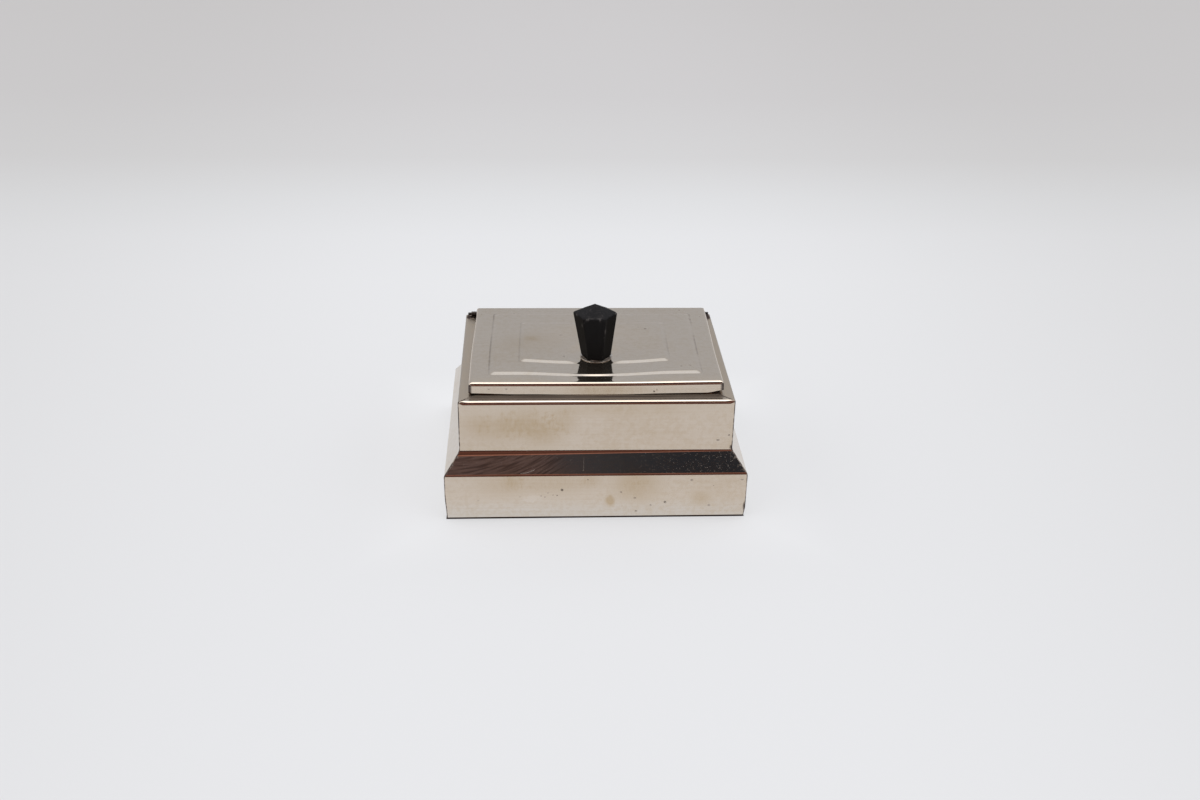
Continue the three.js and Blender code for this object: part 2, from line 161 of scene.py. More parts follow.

# Knob, which stands a little to the right and leans to the left, its wear, and painted light on its front
# faces and pyramid; its front face is told by how far forward a point lies as a share of its distance from
# the axis
KNOB_SIDES = 6
KNOB_TURN = math.radians(-5)
KNOB_FOOT_RADIUS = 6.15
KNOB_TOP_RADIUS = 8.85
KNOB_BODY_HEIGHT = 19.2
KNOB_EDGE = 0.6
KNOB_SHOULDER = 0.8
KNOB_FOOT_ROUND = 0.4
PYRAMID_EDGE_SHARE = 0.6
KNOB_SOCKET_RADIUS = 3.45
KNOB_SOCKET_DEPTH = 9.55
KNOB_ASIDE = 0.85
KNOB_LEAN = math.radians(2.1)
KNOB_REAR_DROP = 1.4
CORNER_WEAR = (0.3, 0.8, 1, 1, 1, 0.8, 0.3)
RIM_WEAR_REACH = 0.5
TOP_FADE = 0.3
TOP_CORNER_FADE = 0.7
LIT_FRONT_FACE = (0.8, 0.87)
RING_FLANGE = 0.25
RING_BOSS = 0.75
RING_ASIDE = 0.9

# Hinge and fixings
KNUCKLE_COUNT = 7
KNUCKLE_GAP = 0.3
KNUCKLE_RADIUS = 1
KNUCKLE_BORE = 0.65
LEAF_THICKNESS = 0.6
LEAF_EASE = 0.12
LEAF_CLEARANCE = 0.3
KNUCKLE_EASE = np.array([0, 0.04, 0.12])
KNUCKLE_PULL = 0.1
ROLL_TURN = math.radians(300)
PIN_DOME = 0.3
WASHER_ROUND = 0.15
SCREW_FACE = 0.82
SCREW_EDGE = 0.6
SHANK_RADIUS = 2
SHANK_CHAMFER = 0.3
SLOT_DEPTH = 0.9
SLOT_SIDES = (0.55, 0.4)

# Cedar boards
BOARD_ROUND = 0.8
BOARD_EASE = 0.25

# Fineness of the meshes: counts, steps, and shares of a run
RUN_STEP = 1.5
RUN_EASE = 0.12
BEND_STEPS = 14
MITRE_STATIONS = np.array([0, 0.08, 0.25, 0.5, 0.8, 1.1, 2])
PANEL_RINGS = 48
PANEL_CROWDING = 1.25
STEP_RINGS = 15
TERRACE_SHARES = (0.03, 0.15, 0.3, 0.45, 0.6, 0.75, 0.9, 0.97)
RIM_SHARES = (0.03, 0.2, 0.4, 0.6, 0.8, 0.97)
LIP_RINGS = 9
FOOT_RINGS = 6
FLANK_RINGS = 24
FLANK_SHARES = (0.03, 0.98)
SHOULDER_RINGS = 9
PYRAMID_RINGS = 20
EASE_RINGS = 5
BOARD_RINGS = 8
BOARD_STATIONS = 12
BOARD_SPINE = 0.9
CORNER_POINTS = 9
SIDE_POINTS = (64, 48, 64, 48)
SIDE_ENDS = (0.004, 0.012)
FACET_SHARES = np.array([0.03, 0.15, 0.3, 0.5, 0.7, 0.85, 0.97])
TURNED_POINTS = 64
PIN_POINTS = 32
SCREW_POINTS = 96
SCREW_FACE_RINGS = 26
DISC_RIM_RINGS = 13
PIN_DOME_RINGS = 7
SCREW_DOME_RINGS = 9
ROLL_ROWS = 40
KNUCKLE_STATIONS = 8
SHARP_ANGLE = math.radians(40)
WELD = 1e-7


def grid_quads(grid):
    """Quads between the neighbouring rows and columns of a grid of point numbers."""
    corners = [grid[:-1, :-1], grid[:-1, 1:], grid[1:, 1:], grid[1:, :-1]]
    return np.stack(corners, axis=-1).reshape(-1, 4)


def loop_quads(rings, count, closed=False):
    """Quads of a skin over rings of points; each ring joins up with itself, and a closed skin's last ring
    joins its first."""
    grid = np.arange(rings * count).reshape(rings, count)
    grid = np.concatenate([grid, grid[:, :1]], axis=1)
    if closed:
        grid = np.concatenate([grid, grid[:1]], axis=0)
    return grid_quads(grid)


def sheet_quads(rows, columns):
    """Quads of a sheet of metal: an outer and an inner grid of points, joined along their four borders."""
    outer, inner = np.arange(2 * rows * columns).reshape(2, rows, columns)
    borders = [
        (outer[0], inner[0]),
        (inner[-1], outer[-1]),
        (inner[:, 0], outer[:, 0]),
        (outer[:, -1], inner[:, -1]),
    ]
    rims = [grid_quads(np.stack(pair)) for pair in borders]
    return np.concatenate([grid_quads(outer), grid_quads(inner[:, ::-1]), *rims])


def joined(parts):
    """Several lists of points and quads as one, with the point numbers moved along."""
    points = [np.reshape(part, (-1, 3)) for part, quads in parts]
    starts = np.cumsum([0] + [len(part) for part in points[:-1]])
    return np.concatenate(points), np.concatenate([quads + start for (_, quads), start in zip(parts, starts)])


def add_piece(name, shape, body, node, slot, finish, **attributes):
    """A mesh object from points in millimetres and quads. Poles and seams are welded, faces turned
    outwards, and edges sharper than a set angle stay crisp. Attributes are one number for each point."""
    points, quads = shape
    mesh = bpy.data.meshes.new(name)
    mesh.from_pydata(np.reshape(points, (-1, 3)) * MM, [], quads)
    for key, values in attributes.items():
        attribute = mesh.attributes.new(key, "FLOAT", "POINT")
        attribute.data.foreach_set("value", np.ravel(values).astype(np.float32))
    form = bmesh.new()
    form.from_mesh(mesh)
    bmesh.ops.remove_doubles(form, verts=form.verts, dist=WELD)
    bmesh.ops.recalc_face_normals(form, faces=form.faces)
    form.to_mesh(mesh)
    form.free()
    mesh.shade_smooth()
    mesh.set_sharp_from_angle(angle=SHARP_ANGLE)
    mesh.materials.append(finish)
    piece = bpy.data.objects.new(name, mesh)
    bpy.context.scene.collection.objects.link(piece)
    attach(piece, body)
    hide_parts(node)


def smooth(low, high, value):
    """0 below low, 1 above high, and an S-shaped rise between them; a low over the high turns it round."""
    t = np.clip((value - low) / (high - low), 0, 1)
    return t * t * (3 - 2 * t)


def run_fractions(length, count):
    """Even fractions along a straight run, with one more point close to each end to keep the shading
    crisp."""
    inner = np.linspace(RUN_EASE, length - RUN_EASE, count)
    return np.concatenate([[0], inner, [length]]) / length


def folded_path(corners, bends):
    """Straight runs joined by arcs that touch both runs. Gives the points and their left-hand normals; how
    many there are depends on the corners alone."""
    corners = np.array(corners, float)
    along = np.diff(corners, axis=0)
    along /= np.linalg.norm(along, axis=1)[:, None]
    left = np.stack([-along[:, 1], along[:, 0]], axis=1)
    points, normals = [], []
    start = corners[0]
    for i, corner in enumerate(corners[1:]):
        last = i == len(bends)
        turn = 0 if last else math.atan2(np.cross(along[i], along[i + 1]), along[i] @ along[i + 1])
        reach = 0 if last else bends[i] * math.tan(abs(turn) / 2)
        stop = corner - reach * along[i]
        count = max(2, round(np.linalg.norm(corner - corners[i]) / RUN_STEP))
        share = run_fractions(np.linalg.norm(stop - start), count)[:, None]
        points.append(start + share * (stop - start))
        normals.append(np.repeat(left[i:i + 1], len(share), axis=0))
        if last:
            break
        angle = np.linspace(0, turn, BEND_STEPS + 1)[1:-1]
        spokes = np.outer(np.cos(angle), left[i]) + np.outer(np.sin(angle), -along[i])
        towards = math.copysign(bends[i], turn)
        points.append(stop + towards * left[i] - towards * spokes)
        normals.append(spokes)
        start = corner + reach * along[i + 1]
    return np.concatenate(points), np.concatenate(normals)


def turned_about_z(points, quarter):
    """Points turned by a number of quarter turns about the upright axis."""
    cosine, sine = [(1, 0), (0, 1), (-1, 0), (0, -1)][quarter]
    x, y, z = np.moveaxis(points, -1, 0)
    return np.stack([cosine * x - sine * y, sine * x + cosine * y, z], axis=-1)


def sheet_wave(along, up, phase):
    """Slight hollows of a hand-finished sheet: slow waves that cross one another, all of them inwards. Each
    has its length along and up the sheet and its weight."""
    height = 0
    for turn, (length, rise, weight) in enumerate(WAVES, 1):
        height = height + weight * (np.sin(along / length + up / rise + turn * phase) - 1)
    return WAVE_HEIGHT * height


def dented(points):
    """Points with the plinth's two front corners knocked in sideways, most at the foot and at the corner
    itself."""
    x, y, z = np.moveaxis(points, -1, 0)
    depth = 0
    for side, (amount, height) in ((-1, LEFT_DENT), (1, RIGHT_DENT)):
        at_side = smooth(HALF_WIDTH - DENT_REACH, HALF_WIDTH, side * x)
        depth = depth - side * amount * smooth(height, 0, z) * at_side
    depth = depth * smooth(DENT_REACH - HALF_DEPTH, -HALF_DEPTH, y)
    return np.stack([x + depth, y, z], axis=-1)


def wall_shape(quarter):
    """A case wall: the folded section carried along the wall, whose ends are cut on the mitre, so the further
    in a point lies the shorter the wall is there. On the front the hollow over the shoulder goes from a wide
    bend at the left to a tight one at the right, and the brim's bend is wide except at the ends. The outer
    edges of the mitre are eased. Also gives how near each point lies to a mitre, how dull it is on the brim,
    how much dirt and painted shadow from the lid's lip lie on the brim in front of that lip, and which points
    are on the front's shoulder."""
    half_length, half_span = (HALF_WIDTH, HALF_DEPTH) if quarter % 2 == 0 else (HALF_DEPTH, HALF_WIDTH)
    corners = [
        (HEM_DEPTH, 0),
        (0, 0),
        (0, PLINTH_HEIGHT),
        (SHOULDER_RUN, PLINTH_HEIGHT + SHOULDER_RISE),
        (SHOULDER_RUN, BRIM_Z),
        (BRIM_INSET, BRIM_Z),
    ]
    is_front = quarter == 0
    near_end = MITRE_EASE * MITRE_STATIONS
    middle = np.linspace(-1, 1, 2 * round(half_length / RUN_STEP) + 1)[1:-1]
    along = np.concatenate([np.full(len(near_end), -1), middle, np.full(len(near_end), 1)])
    off_end = np.concatenate([near_end, np.full(len(middle), near_end[-1]), near_end[::-1]])
    hollow = np.interp(along, (-1, 1), FRONT_HOLLOW_BENDS if is_front else (HOLLOW_BEND, HOLLOW_BEND))
    from_end = off_end + (1 - np.abs(along)) * half_length
    brim = TIGHT_BRIM_BEND + (BRIM_BEND - TIGHT_BRIM_BEND) * smooth(*BRIM_BEND_FADE, from_end) * is_front
    sections = [folded_path(corners, [FOOT_BEND, PLINTH_BEND, *bends]) for bends in zip(hollow, brim)]
    (inset, height), (inward, upward) = np.array(sections).transpose(1, 3, 2, 0)
    end = half_length - inset - MITRE_GAP / math.sqrt(2)
    x = (end - off_end) * along
    to_end = end - np.abs(x)
    drop = MITRE_EASE - np.sqrt(MITRE_EASE ** 2 - np.clip(MITRE_EASE - to_end, 0, None) ** 2)
    wave = sheet_wave(x, height, quarter + 1)
    layers = []
    for depth in (wave - drop, wave - SHEET):
        raised = np.clip(height + upward * depth, 0, None)
        layers.append(np.stack([x, inset + inward * depth - half_span, raised], axis=-1))
    points = dented(turned_about_z(np.stack(layers), quarter))
    on_brim = height > BRIM_Z - 2 * SHEET
    # Dirt with painted shadow from the lid's lip, on the brim strip in front of that lip
    dust = smooth(*DUST_AND_SHADE_RISE, inset) * smooth(*DUST_AND_SHADE_FALL, inset) * on_brim * is_front
    dust = dust * smooth(*DUST_AND_SHADE_ENDS, np.abs(x))
    dull = smooth(*(DULL_RISE if is_front else SIDE_DULL_RISE), inset) * on_brim
    slope = smooth(*SLOPE_RISE, upward) * smooth(*SLOPE_FALL, upward) * is_front
    seam = smooth(SEAM_REACH, 0, to_end)
    wear_and_painted_light = {"seam": seam, "dull": dull, "dust": dust, "slope": slope}
    wear_and_painted_light = {name: np.stack([values, values]) for name, values in wear_and_painted_light.items()}
    return (points, sheet_quads(*x.shape)), wear_and_painted_light


def spokes_at(angle):
    """Unit vectors at those angles."""
    return np.stack([np.cos(angle), np.sin(angle)], axis=-1)


def quarter_arc(radius, count):
    """A rounded edge as (inset, height): a quarter circle from one face, where the inset is the radius, to
    the next, where the height is."""
    angle = np.linspace(0, math.pi / 2, count)
    return list(zip(radius * (1 - np.sin(angle)), radius * (1 - np.cos(angle))))


def rounded_ring(half_x, half_y, corner):
    """Points round a rectangle with arcs for corners, counter-clockwise: rear right corner, rear side, rear
    left corner, left side, and so on."""
    steps = np.linspace(0, 1, CORNER_POINTS)
    arcs = []
    for quarter, (sign_x, sign_y) in enumerate([(1, 1), (-1, 1), (-1, -1), (1, -1)]):
        angle = (quarter + steps) * math.pi / 2
        centre = np.array([sign_x * (half_x - corner), sign_y * (half_y - corner)])
        arcs.append(centre + corner * spokes_at(angle))
    points = []
    first, second = SIDE_ENDS
    for quarter, count in enumerate(SIDE_POINTS):
        share = np.concatenate([[first], np.linspace(second, 1 - second, count), [1 - first]])[:, None]
        start, stop = arcs[quarter][-1], arcs[(quarter + 1) % 4][0]
        points += [arcs[quarter], start + share * (stop - start)]
    return np.concatenate(points)


def lid_dish(x, y):
    """How far the lid sags round the knob: an even hollow that fades out with the fourth power of the
    distance."""
    return DISH_DEPTH * np.exp(-(np.hypot(x - SEAT[0], y - SEAT[1]) / DISH_REACH) ** 4)


def step_profile():
    """Shares of a pressed step's run and of its rise. Its steepness is even, and fades in and out at both
    ends."""
    run = np.linspace(0, 1, STEP_RINGS)
    steepness = np.clip(run / STEP_EASE, 0, 1) * np.clip((1 - run) / STEP_EASE, 0, 1)
    rise = np.concatenate([[0], np.cumsum(steepness[1:] + steepness[:-1])])
    return list(zip(run, rise / rise[-1]))


def lid_shape():
    """The pressed lid as closed rings, from the screw hole out over panel, two steps, rim, rounded edge and
    lip, round the lip's edge and back along the inside to the hole. The middle sags to the knob's seat, but
    the front edge is only bowed a little; the front lip flares outwards, with its corners bent up, and the
    rear lip is cut back over the hinge leaf. The outer step lies further forward in front and is pinched
    before the knob, and the rear has slipped to the right. Also gives where dirt and painted shade lie along
    the steps' feet at the sides, and where painted shade darkens the lip's front corners."""
    half = (LID_HIGH - LID_LOW) / 2
    middle = (LID_HIGH + LID_LOW) / 2
    rim_z = LID_HIGH[2] - 2 * STEP_RISE
    inner = RIM + STEP_RUN + TERRACE

    def rectangle(inset, corner):
        return rounded_ring(*(half[:2] - inset), corner) + middle[:2]

    # Each step's dirt value is dirt with painted shade along its foot
    def step_rings(outer, z, dirt):
        rings = []
        for run, rise in reversed(step_profile()):
            ring = rectangle(outer + STEP_RUN * run, STEP_CORNER)
            rings.append((ring, z + STEP_RISE * rise, dirt * smooth(*STEP_DIRT_AND_SHADE, run)))
        return rings

    spokes = rectangle(inner + STEP_RUN, STEP_CORNER) - SEAT
    hole_share = SCREW_HOLE / np.linalg.norm(spokes, axis=1, keepdims=True)
    growth = np.linspace(0, 1, PANEL_RINGS)[:-1] ** PANEL_CROWDING
    top = [(SEAT + spokes * (hole_share + (1 - hole_share) * t), LID_HIGH[2], 0) for t in growth]
    top += step_rings(inner, rim_z + STEP_RISE, INNER_STEP_DIRT_AND_SHADE)
    for t in TERRACE_SHARES:
        top.append((rectangle(inner - t * TERRACE, STEP_CORNER), rim_z + STEP_RISE, 0))
    top += step_rings(RIM, rim_z, 1)
    for t in RIM_SHARES:
        corner = (1 - t) * STEP_CORNER + t * LID_CORNER
        top.append((rectangle((1 - t) * RIM + t * LID_BEND, corner), rim_z, 0))
    lip_top = rim_z - LID_BEND
    lip_height = lip_top - LID_LOW[2]

    def skirt(drop):
        bend = LID_BEND - drop
        edge = quarter_arc(bend, BEND_STEPS + 1)
        rings = [(rectangle(drop + inset, LID_CORNER), rim_z - drop - fall, 0) for inset, fall in edge]
        lip = [(rectangle(drop, LID_CORNER), z, 0) for z in np.linspace(lip_top, LID_LOW[2], LIP_RINGS)[1:]]
        return rings + lip

    outside = top + skirt(0)
    inside = [(ring, z - SHEET, 0) for ring, z, _ in top] + skirt(SHEET)
    rings, levels, feet = zip(*outside, *inside[::-1])
    x, y = np.moveaxis(np.stack(rings), -1, 0)
    base = np.repeat(np.array(levels)[:, None], x.shape[1], axis=1)
    depth = np.clip((lip_top - base) / lip_height, 0, 1)
    front = LID_LOW[1]
    off_step = y - (front + RIM[1] + STEP_RUN / 2)
    pinch = STEP_PINCH * np.exp(-((x - SEAT[0]) / STEP_PINCH_REACH) ** 2)
    y = y - (STEP_ADVANCE + pinch * off_step) * smooth(2 * STEP_RUN, STEP_RUN / 2, np.abs(off_step))
    across = x / half[0]
    lift = LEFT_CORNER_LIFT * smooth(LEFT_CORNER_START, -1, across)
    lift = lift + RIGHT_CORNER_LIFT * smooth(RIGHT_CORNER_START, 1, across)
    lift = lift * depth * smooth(front + CORNER_LIFT_REACH, front, y)
    dish = lid_dish(x, y)
    bow = FRONT_DROP + FRONT_BOW * (1 - across ** 2) - dish
    bow = bow * smooth(front + FRONT_HOLD_REACH, front + LID_BEND / 2, y)
    flare = math.tan(LIP_FLARE) * smooth(front + LIP_FLARE_REACH, front + SHEET, y)
    forward = flare * ((lip_height - bow) * depth - lift)
    relief = REAR_RELIEF * depth * (y > LID_HIGH[1] - 2 * SHEET) * (np.abs(x) < half[0] - 2 * SHEET)
    twist = RIGHT_SIDE_LIFT * smooth(RIGHT_SIDE_START, 1, across) * smooth(LID_HIGH[1], front, y)
    level = base - dish - (1 - depth) * bow + lift + relief + twist
    is_inside = np.arange(len(rings))[:, None] >= len(outside)
    held = smooth(SEAT_RADIUS + SEAT_EASE, SEAT_RADIUS, np.hypot(x - SEAT[0], y - SEAT[1]))
    z = held * (WASHER_LOW[2] - SHEET * is_inside) + (1 - held) * level
    aside = x + REAR_SLIP * smooth(front + REAR_SLIP_REACH, LID_HIGH[1], y)
    shape = np.stack([aside, y - forward, z], axis=-1), loop_quads(*x.shape, closed=True)
    rim = rectangle(0, LID_CORNER)
    out = np.abs(rim[:, 0])
    at_sides = smooth(*(half[0] - SIDE_DIRT_AND_SHADE), out)
    at_corners = smooth(*(half[0] - LIP_END_WIDTH), out) * smooth(*(front + LIP_END_DEPTH), rim[:, 1])
    # Painted shade: the lip's front corners are darkened through the masks of the mitres' dark joints and of
    # the brim's dark strip
    lip_corner_shade = at_corners * smooth(*(rim_z - LIP_END_DROP), base) * ~is_inside
    return shape, {"crease": np.outer(feet, at_sides), "seam": lip_corner_shade, "dust": lip_corner_shade}


def polygon_ring(radius, edge):
    """Points round a regular polygon with its corners on a circle of that radius, each corner rounded by an
    arc. With an edge as large as the polygon itself the ring is a circle."""
    half_side = math.pi / KNOB_SIDES
    centre = max(radius - edge / math.cos(half_side), 0)
    corner = -math.pi / 2 + (np.arange(KNOB_SIDES) + 0.5) * 2 * half_side + KNOB_TURN
    angle = corner[:, None] + np.linspace(-half_side, half_side, len(CORNER_WEAR))
    arcs = centre * spokes_at(corner)[:, None, :] + edge * spokes_at(angle)
    start = arcs[:, -1][:, None, :]
    stop = np.roll(arcs[:, 0], -1, axis=0)[:, None, :]
    return np.concatenate([arcs, start + FACET_SHARES[:, None] * (stop - start)], axis=1).reshape(-1, 2)


def knob_shape():
    """The knob as rings: a round socket for its bush, the flat foot, six sides that widen upwards, a rounded
    shoulder and a low pyramid; the first and last rings close to a point. From the foot up each ring moves
    left by the lean, and behind the axis it drops in step with its height and its distance behind. Also gives
    how near each point lies to an edge that wears, which points are on the pyramid, and which face the front;
    the last two carry painted light."""
    foot_z = KNOB_LOW[2]
    shoulder_z = foot_z + KNOB_BODY_HEIGHT
    to_corner = 1 / math.cos(math.pi / KNOB_SIDES)
    socket_z = foot_z + KNOB_SOCKET_DEPTH
    rings = [(KNOB_SOCKET_RADIUS * to_corner, KNOB_SOCKET_RADIUS, z) for z in (socket_z, socket_z, foot_z)]
    socket_rings = len(rings)
    for inset, rise in quarter_arc(KNOB_FOOT_ROUND, FOOT_RINGS):
        rings.append((KNOB_FOOT_RADIUS - inset, KNOB_EDGE, foot_z + rise))
    side_low = foot_z + KNOB_FOOT_ROUND
    side_high = shoulder_z - KNOB_SHOULDER
    for t in np.linspace(*FLANK_SHARES, FLANK_RINGS):
        radius = (1 - t) * KNOB_FOOT_RADIUS + t * KNOB_TOP_RADIUS
        rings.append((radius, KNOB_EDGE, (1 - t) * side_low + t * side_high))
    slope = math.atan2(KNOB_HIGH[2] - shoulder_z, KNOB_TOP_RADIUS)
    for angle in np.linspace(0, math.pi / 2 - slope, SHOULDER_RINGS):
        inset = KNOB_SHOULDER * (1 - math.cos(angle))
        rings.append((KNOB_TOP_RADIUS - inset, KNOB_EDGE, side_high + KNOB_SHOULDER * math.sin(angle)))
    radius, _, top_z = rings[-1]
    for t in np.linspace(0, 1, PYRAMID_RINGS)[1:]:
        shrunk = (1 - t) * radius
        rounding = min(KNOB_EDGE, PYRAMID_EDGE_SHARE * shrunk)
        rings.append((shrunk, rounding, (1 - t) * top_z + t * KNOB_HIGH[2]))
    xy = np.stack([polygon_ring(r, edge) for r, edge, _ in rings]) + SEAT
    z = np.repeat(np.array([z for _, _, z in rings])[:, None], xy.shape[1], axis=1)
    xy[[0, -1]] = SEAT
    risen = z[socket_rings:] - foot_z
    xy[socket_rings:, :, 0] += KNOB_ASIDE - math.tan(KNOB_LEAN) * risen
    level = z.copy()
    behind = np.clip((xy[socket_rings:, :, 1] - SEAT[1]) / KNOB_TOP_RADIUS, 0, 1)
    level[socket_rings:] -= KNOB_REAR_DROP * behind * np.clip(risen / KNOB_BODY_HEIGHT, 0, 1)
    corner = np.tile([*CORNER_WEAR, *np.zeros(len(FACET_SHARES))], KNOB_SIDES)
    rim = np.exp(-((z - side_high - KNOB_SHOULDER / 2) / RIM_WEAR_REACH) ** 2)
    top = smooth(side_high, top_z + TOP_FADE, z)
    edge = np.maximum(corner * (z > foot_z) * (1 - TOP_CORNER_FADE * top), rim)
    ahead = (SEAT[1] - xy[..., 1]) / np.maximum(np.hypot(*np.moveaxis(xy - SEAT, -1, 0)), KNOB_EDGE)
    # Painted light: the top and front masks make the pyramid and the front faces lighter
    wear_and_painted_light = {"edge": edge, "top": top, "front": smooth(*LIT_FRONT_FACE, ahead)}
    return (np.concatenate([xy, level[..., None]], axis=-1), loop_quads(*z.shape)), wear_and_painted_light


def turned_shape(profile, centre, axis=2, count=TURNED_POINTS, closed=False):
    """A profile of (radius, distance along the axis) turned about an axis, as rings."""
    radius, along = np.array(profile, float).T
    angle = np.linspace(0, 2 * math.pi, count, endpoint=False)
    across = [np.outer(radius, np.cos(angle)), np.outer(radius, np.sin(angle))]
    lengthwise = np.repeat(along[:, None], count, axis=1)
    places = [*across, lengthwise] if axis == 2 else [lengthwise, *across]
    return np.stack(places, axis=-1) + np.array(centre), loop_quads(len(profile), count, closed)


def rounded_rim(radius, height, rounding):
    """The outer edge of a disc as (radius, height), from its lower face to its upper one: two quarter arcs
    with an upright between them."""
    bow = np.linspace(-math.pi / 2, math.pi / 2, DISC_RIM_RINGS)
    half = height / 2
    z = half + np.sign(bow) * (half - rounding) + rounding * np.sin(bow)
    return list(zip(radius - rounding * (1 - np.cos(bow)), z))


def washer_shape():
    """The washer under the lid: a flat ring with a rounded rim, as a closed turned profile."""
    radius = (SCREW_WASHER_HIGH[0] - SCREW_WASHER_LOW[0]) / 2
    height = SCREW_WASHER_HIGH[2] - SCREW_WASHER_LOW[2]
    waist = (SCREW_HOLE + radius) / 2
    rim = rounded_rim(radius, height, WASHER_ROUND)
    profile = [(SCREW_HOLE, 0), (waist, 0), *rim, (waist, height), (SCREW_HOLE, height)]
    return turned_shape(profile, [*SEAT, SCREW_WASHER_LOW[2]], closed=True)


def ring_shape():
    """The ring under the knob, which has slipped to the right: a thin flange with a rounded rim, a narrower
    boss up to the knob's foot, and a bore with room for that slip."""
    radius = (WASHER_HIGH[0] - WASHER_LOW[0]) / 2
    height = WASHER_HIGH[2] - WASHER_LOW[2]
    rim = rounded_rim(radius, RING_FLANGE, RING_FLANGE / 2)
    boss = RING_BOSS * radius
    bore = SCREW_HOLE + RING_ASIDE
    profile = [(bore, 0), (boss, 0), *rim, (boss, RING_FLANGE), (boss, height), (bore, height)]
    return turned_shape(profile, [SEAT[0] + RING_ASIDE, SEAT[1], WASHER_LOW[2]], closed=True)


def pin_shape():
    """The hinge pin: a rod along X with domed ends."""
    radius = (PIN_HIGH[1] - PIN_LOW[1]) / 2
    half = (PIN_HIGH[0] - PIN_LOW[0]) / 2
    dome = np.linspace(0, math.pi / 2, PIN_DOME_RINGS)
    cap = list(zip(radius * np.sin(dome), half - PIN_DOME * (1 - np.cos(dome))))
    profile = [(r, -x) for r, x in cap] + cap[::-1]
    return turned_shape(profile, (PIN_LOW + PIN_HIGH) / 2, axis=0, count=PIN_POINTS)


def screw_shape():
    """The slotted screw under the lid: shank, head and domed face, with the slot pressed into the face."""
    head_z = SCREW_WASHER_LOW[2]
    radius = (SCREW_HIGH[0] - SCREW_LOW[0]) / 2
    dome = np.linspace(0, math.pi / 2, SCREW_DOME_RINGS)[1:]
    face = [(radius * t, SCREW_LOW[2]) for t in np.linspace(0, SCREW_FACE, SCREW_FACE_RINGS)]
    edge_radius = radius * (SCREW_FACE + (1 - SCREW_FACE) * np.sin(dome))
    edge = list(zip(edge_radius, SCREW_LOW[2] + SCREW_EDGE * (1 - np.cos(dome))))
    tip = SCREW_HIGH[2]
    chamfer = [(SHANK_RADIUS, tip - SHANK_CHAMFER), (SHANK_RADIUS - SHANK_CHAMFER, tip)]
    profile = [*face, *edge, (radius, head_z), (SHANK_RADIUS, head_z), *chamfer, (0, tip)]
    points, quads = turned_shape(profile, [*SEAT, 0], count=SCREW_POINTS)
    on_face = points[..., 2] < (head_z + SCREW_LOW[2]) / 2
    points[..., 2] += SLOT_DEPTH * on_face * smooth(*SLOT_SIDES, np.abs(points[..., 1] - SEAT[1]))
    return points, quads


def plate_shape(low, high, ease):
    """A flat plate with eased edges: rings from a line along the middle of one face, round the edge, to a
    line along the middle of the other."""
    half = (high - low) / 2
    eased = [(inset, rise - half[2]) for inset, rise in quarter_arc(ease, EASE_RINGS)]
    eased += [(inset, -z) for inset, z in reversed(eased)]
    rings = [rounded_ring(*(half[:2] - inset), ease) for inset, _ in eased]
    line = np.clip(rings[0], half[1] - half[0], half[0] - half[1]) * (1, 0)
    heights = [-half[2], *(z for _, z in eased), half[2]]
    points = [np.insert(ring, 2, z, axis=1) for ring, z in zip([line, *rings, line], heights)]
    return np.stack(points) + (high + low) / 2, loop_quads(len(points), len(line))


def roll_shape(position, edge, start_angle):
    """One knuckle, counted from the left: the leaf's sheet led in from its edge, given by an outer and an
    inner point, and rolled round the pin; carried along X, with the outer edges of its ends drawn in a
    little."""
    pitch = (BODY_LEAF_HIGH[0] - BODY_LEAF_LOW[0] + KNUCKLE_GAP) / KNUCKLE_COUNT
    left = BODY_LEAF_LOW[0] + position * pitch
    right = left + pitch - KNUCKLE_GAP
    body = np.linspace(left + LEAF_THICKNESS, right - LEAF_THICKNESS, KNUCKLE_STATIONS)
    x = np.concatenate([left + KNUCKLE_EASE, body, right - KNUCKLE_EASE[::-1]])
    pull = KNUCKLE_PULL * smooth(KNUCKLE_EASE[-1], 0, np.minimum(x - left, right - x))
    centre = ((PIN_LOW + PIN_HIGH) / 2)[1:]
    spokes = spokes_at(start_angle + np.linspace(0, ROLL_TURN, ROLL_ROWS))
    layers = []
    for start, radius in zip(edge, (KNUCKLE_RADIUS - pull, np.full_like(x, KNUCKLE_BORE))):
        rolled = centre + radius[None, :, None] * spokes[:, None, :]
        led_in = np.repeat(np.array(start)[None, None], len(x), axis=1)
        layers.append(np.insert(np.concatenate([led_in, rolled]), 0, x, axis=2))
    return np.stack(layers), sheet_quads(len(spokes) + 1, len(x))


def leaf_shape(low, high, edge, start_angle, first):
    """A hinge leaf: a flat strip, and every second knuckle from the first one on, rolled from the strip's
    edge."""
    strip = plate_shape(np.array(low), np.array(high), LEAF_EASE)
    return joined([strip, *(roll_shape(k, edge, start_angle) for k in range(first, KNUCKLE_COUNT, 2))])


def body_leaf_shape():
    """The case's hinge leaf: its strip on the brim and four knuckles."""
    bottom = BODY_LEAF_LOW[2]
    top = bottom + LEAF_THICKNESS
    rear = LID_HIGH[1]
    half = LID_LEAF_HIGH[0] - 2 * LEAF_CLEARANCE
    edge = [(rear, bottom), (rear, top)]
    return leaf_shape((-half, BODY_LEAF_LOW[1], bottom), (half, rear, top), edge, -math.pi / 2, 0)


def lid_leaf_shape():
    """The lid's hinge leaf: its strip on the rear lip and three knuckles."""
    bottom = (PIN_LOW[2] + PIN_HIGH[2]) / 2 + KNUCKLE_RADIUS + LEAF_CLEARANCE
    left, front, _ = LID_LEAF_LOW
    right, _, top = LID_LEAF_HIGH
    rear = front + LEAF_THICKNESS
    edge = [(front, bottom), (rear, bottom)]
    return leaf_shape((left, front, bottom), (right, rear, top), edge, math.pi, 1)


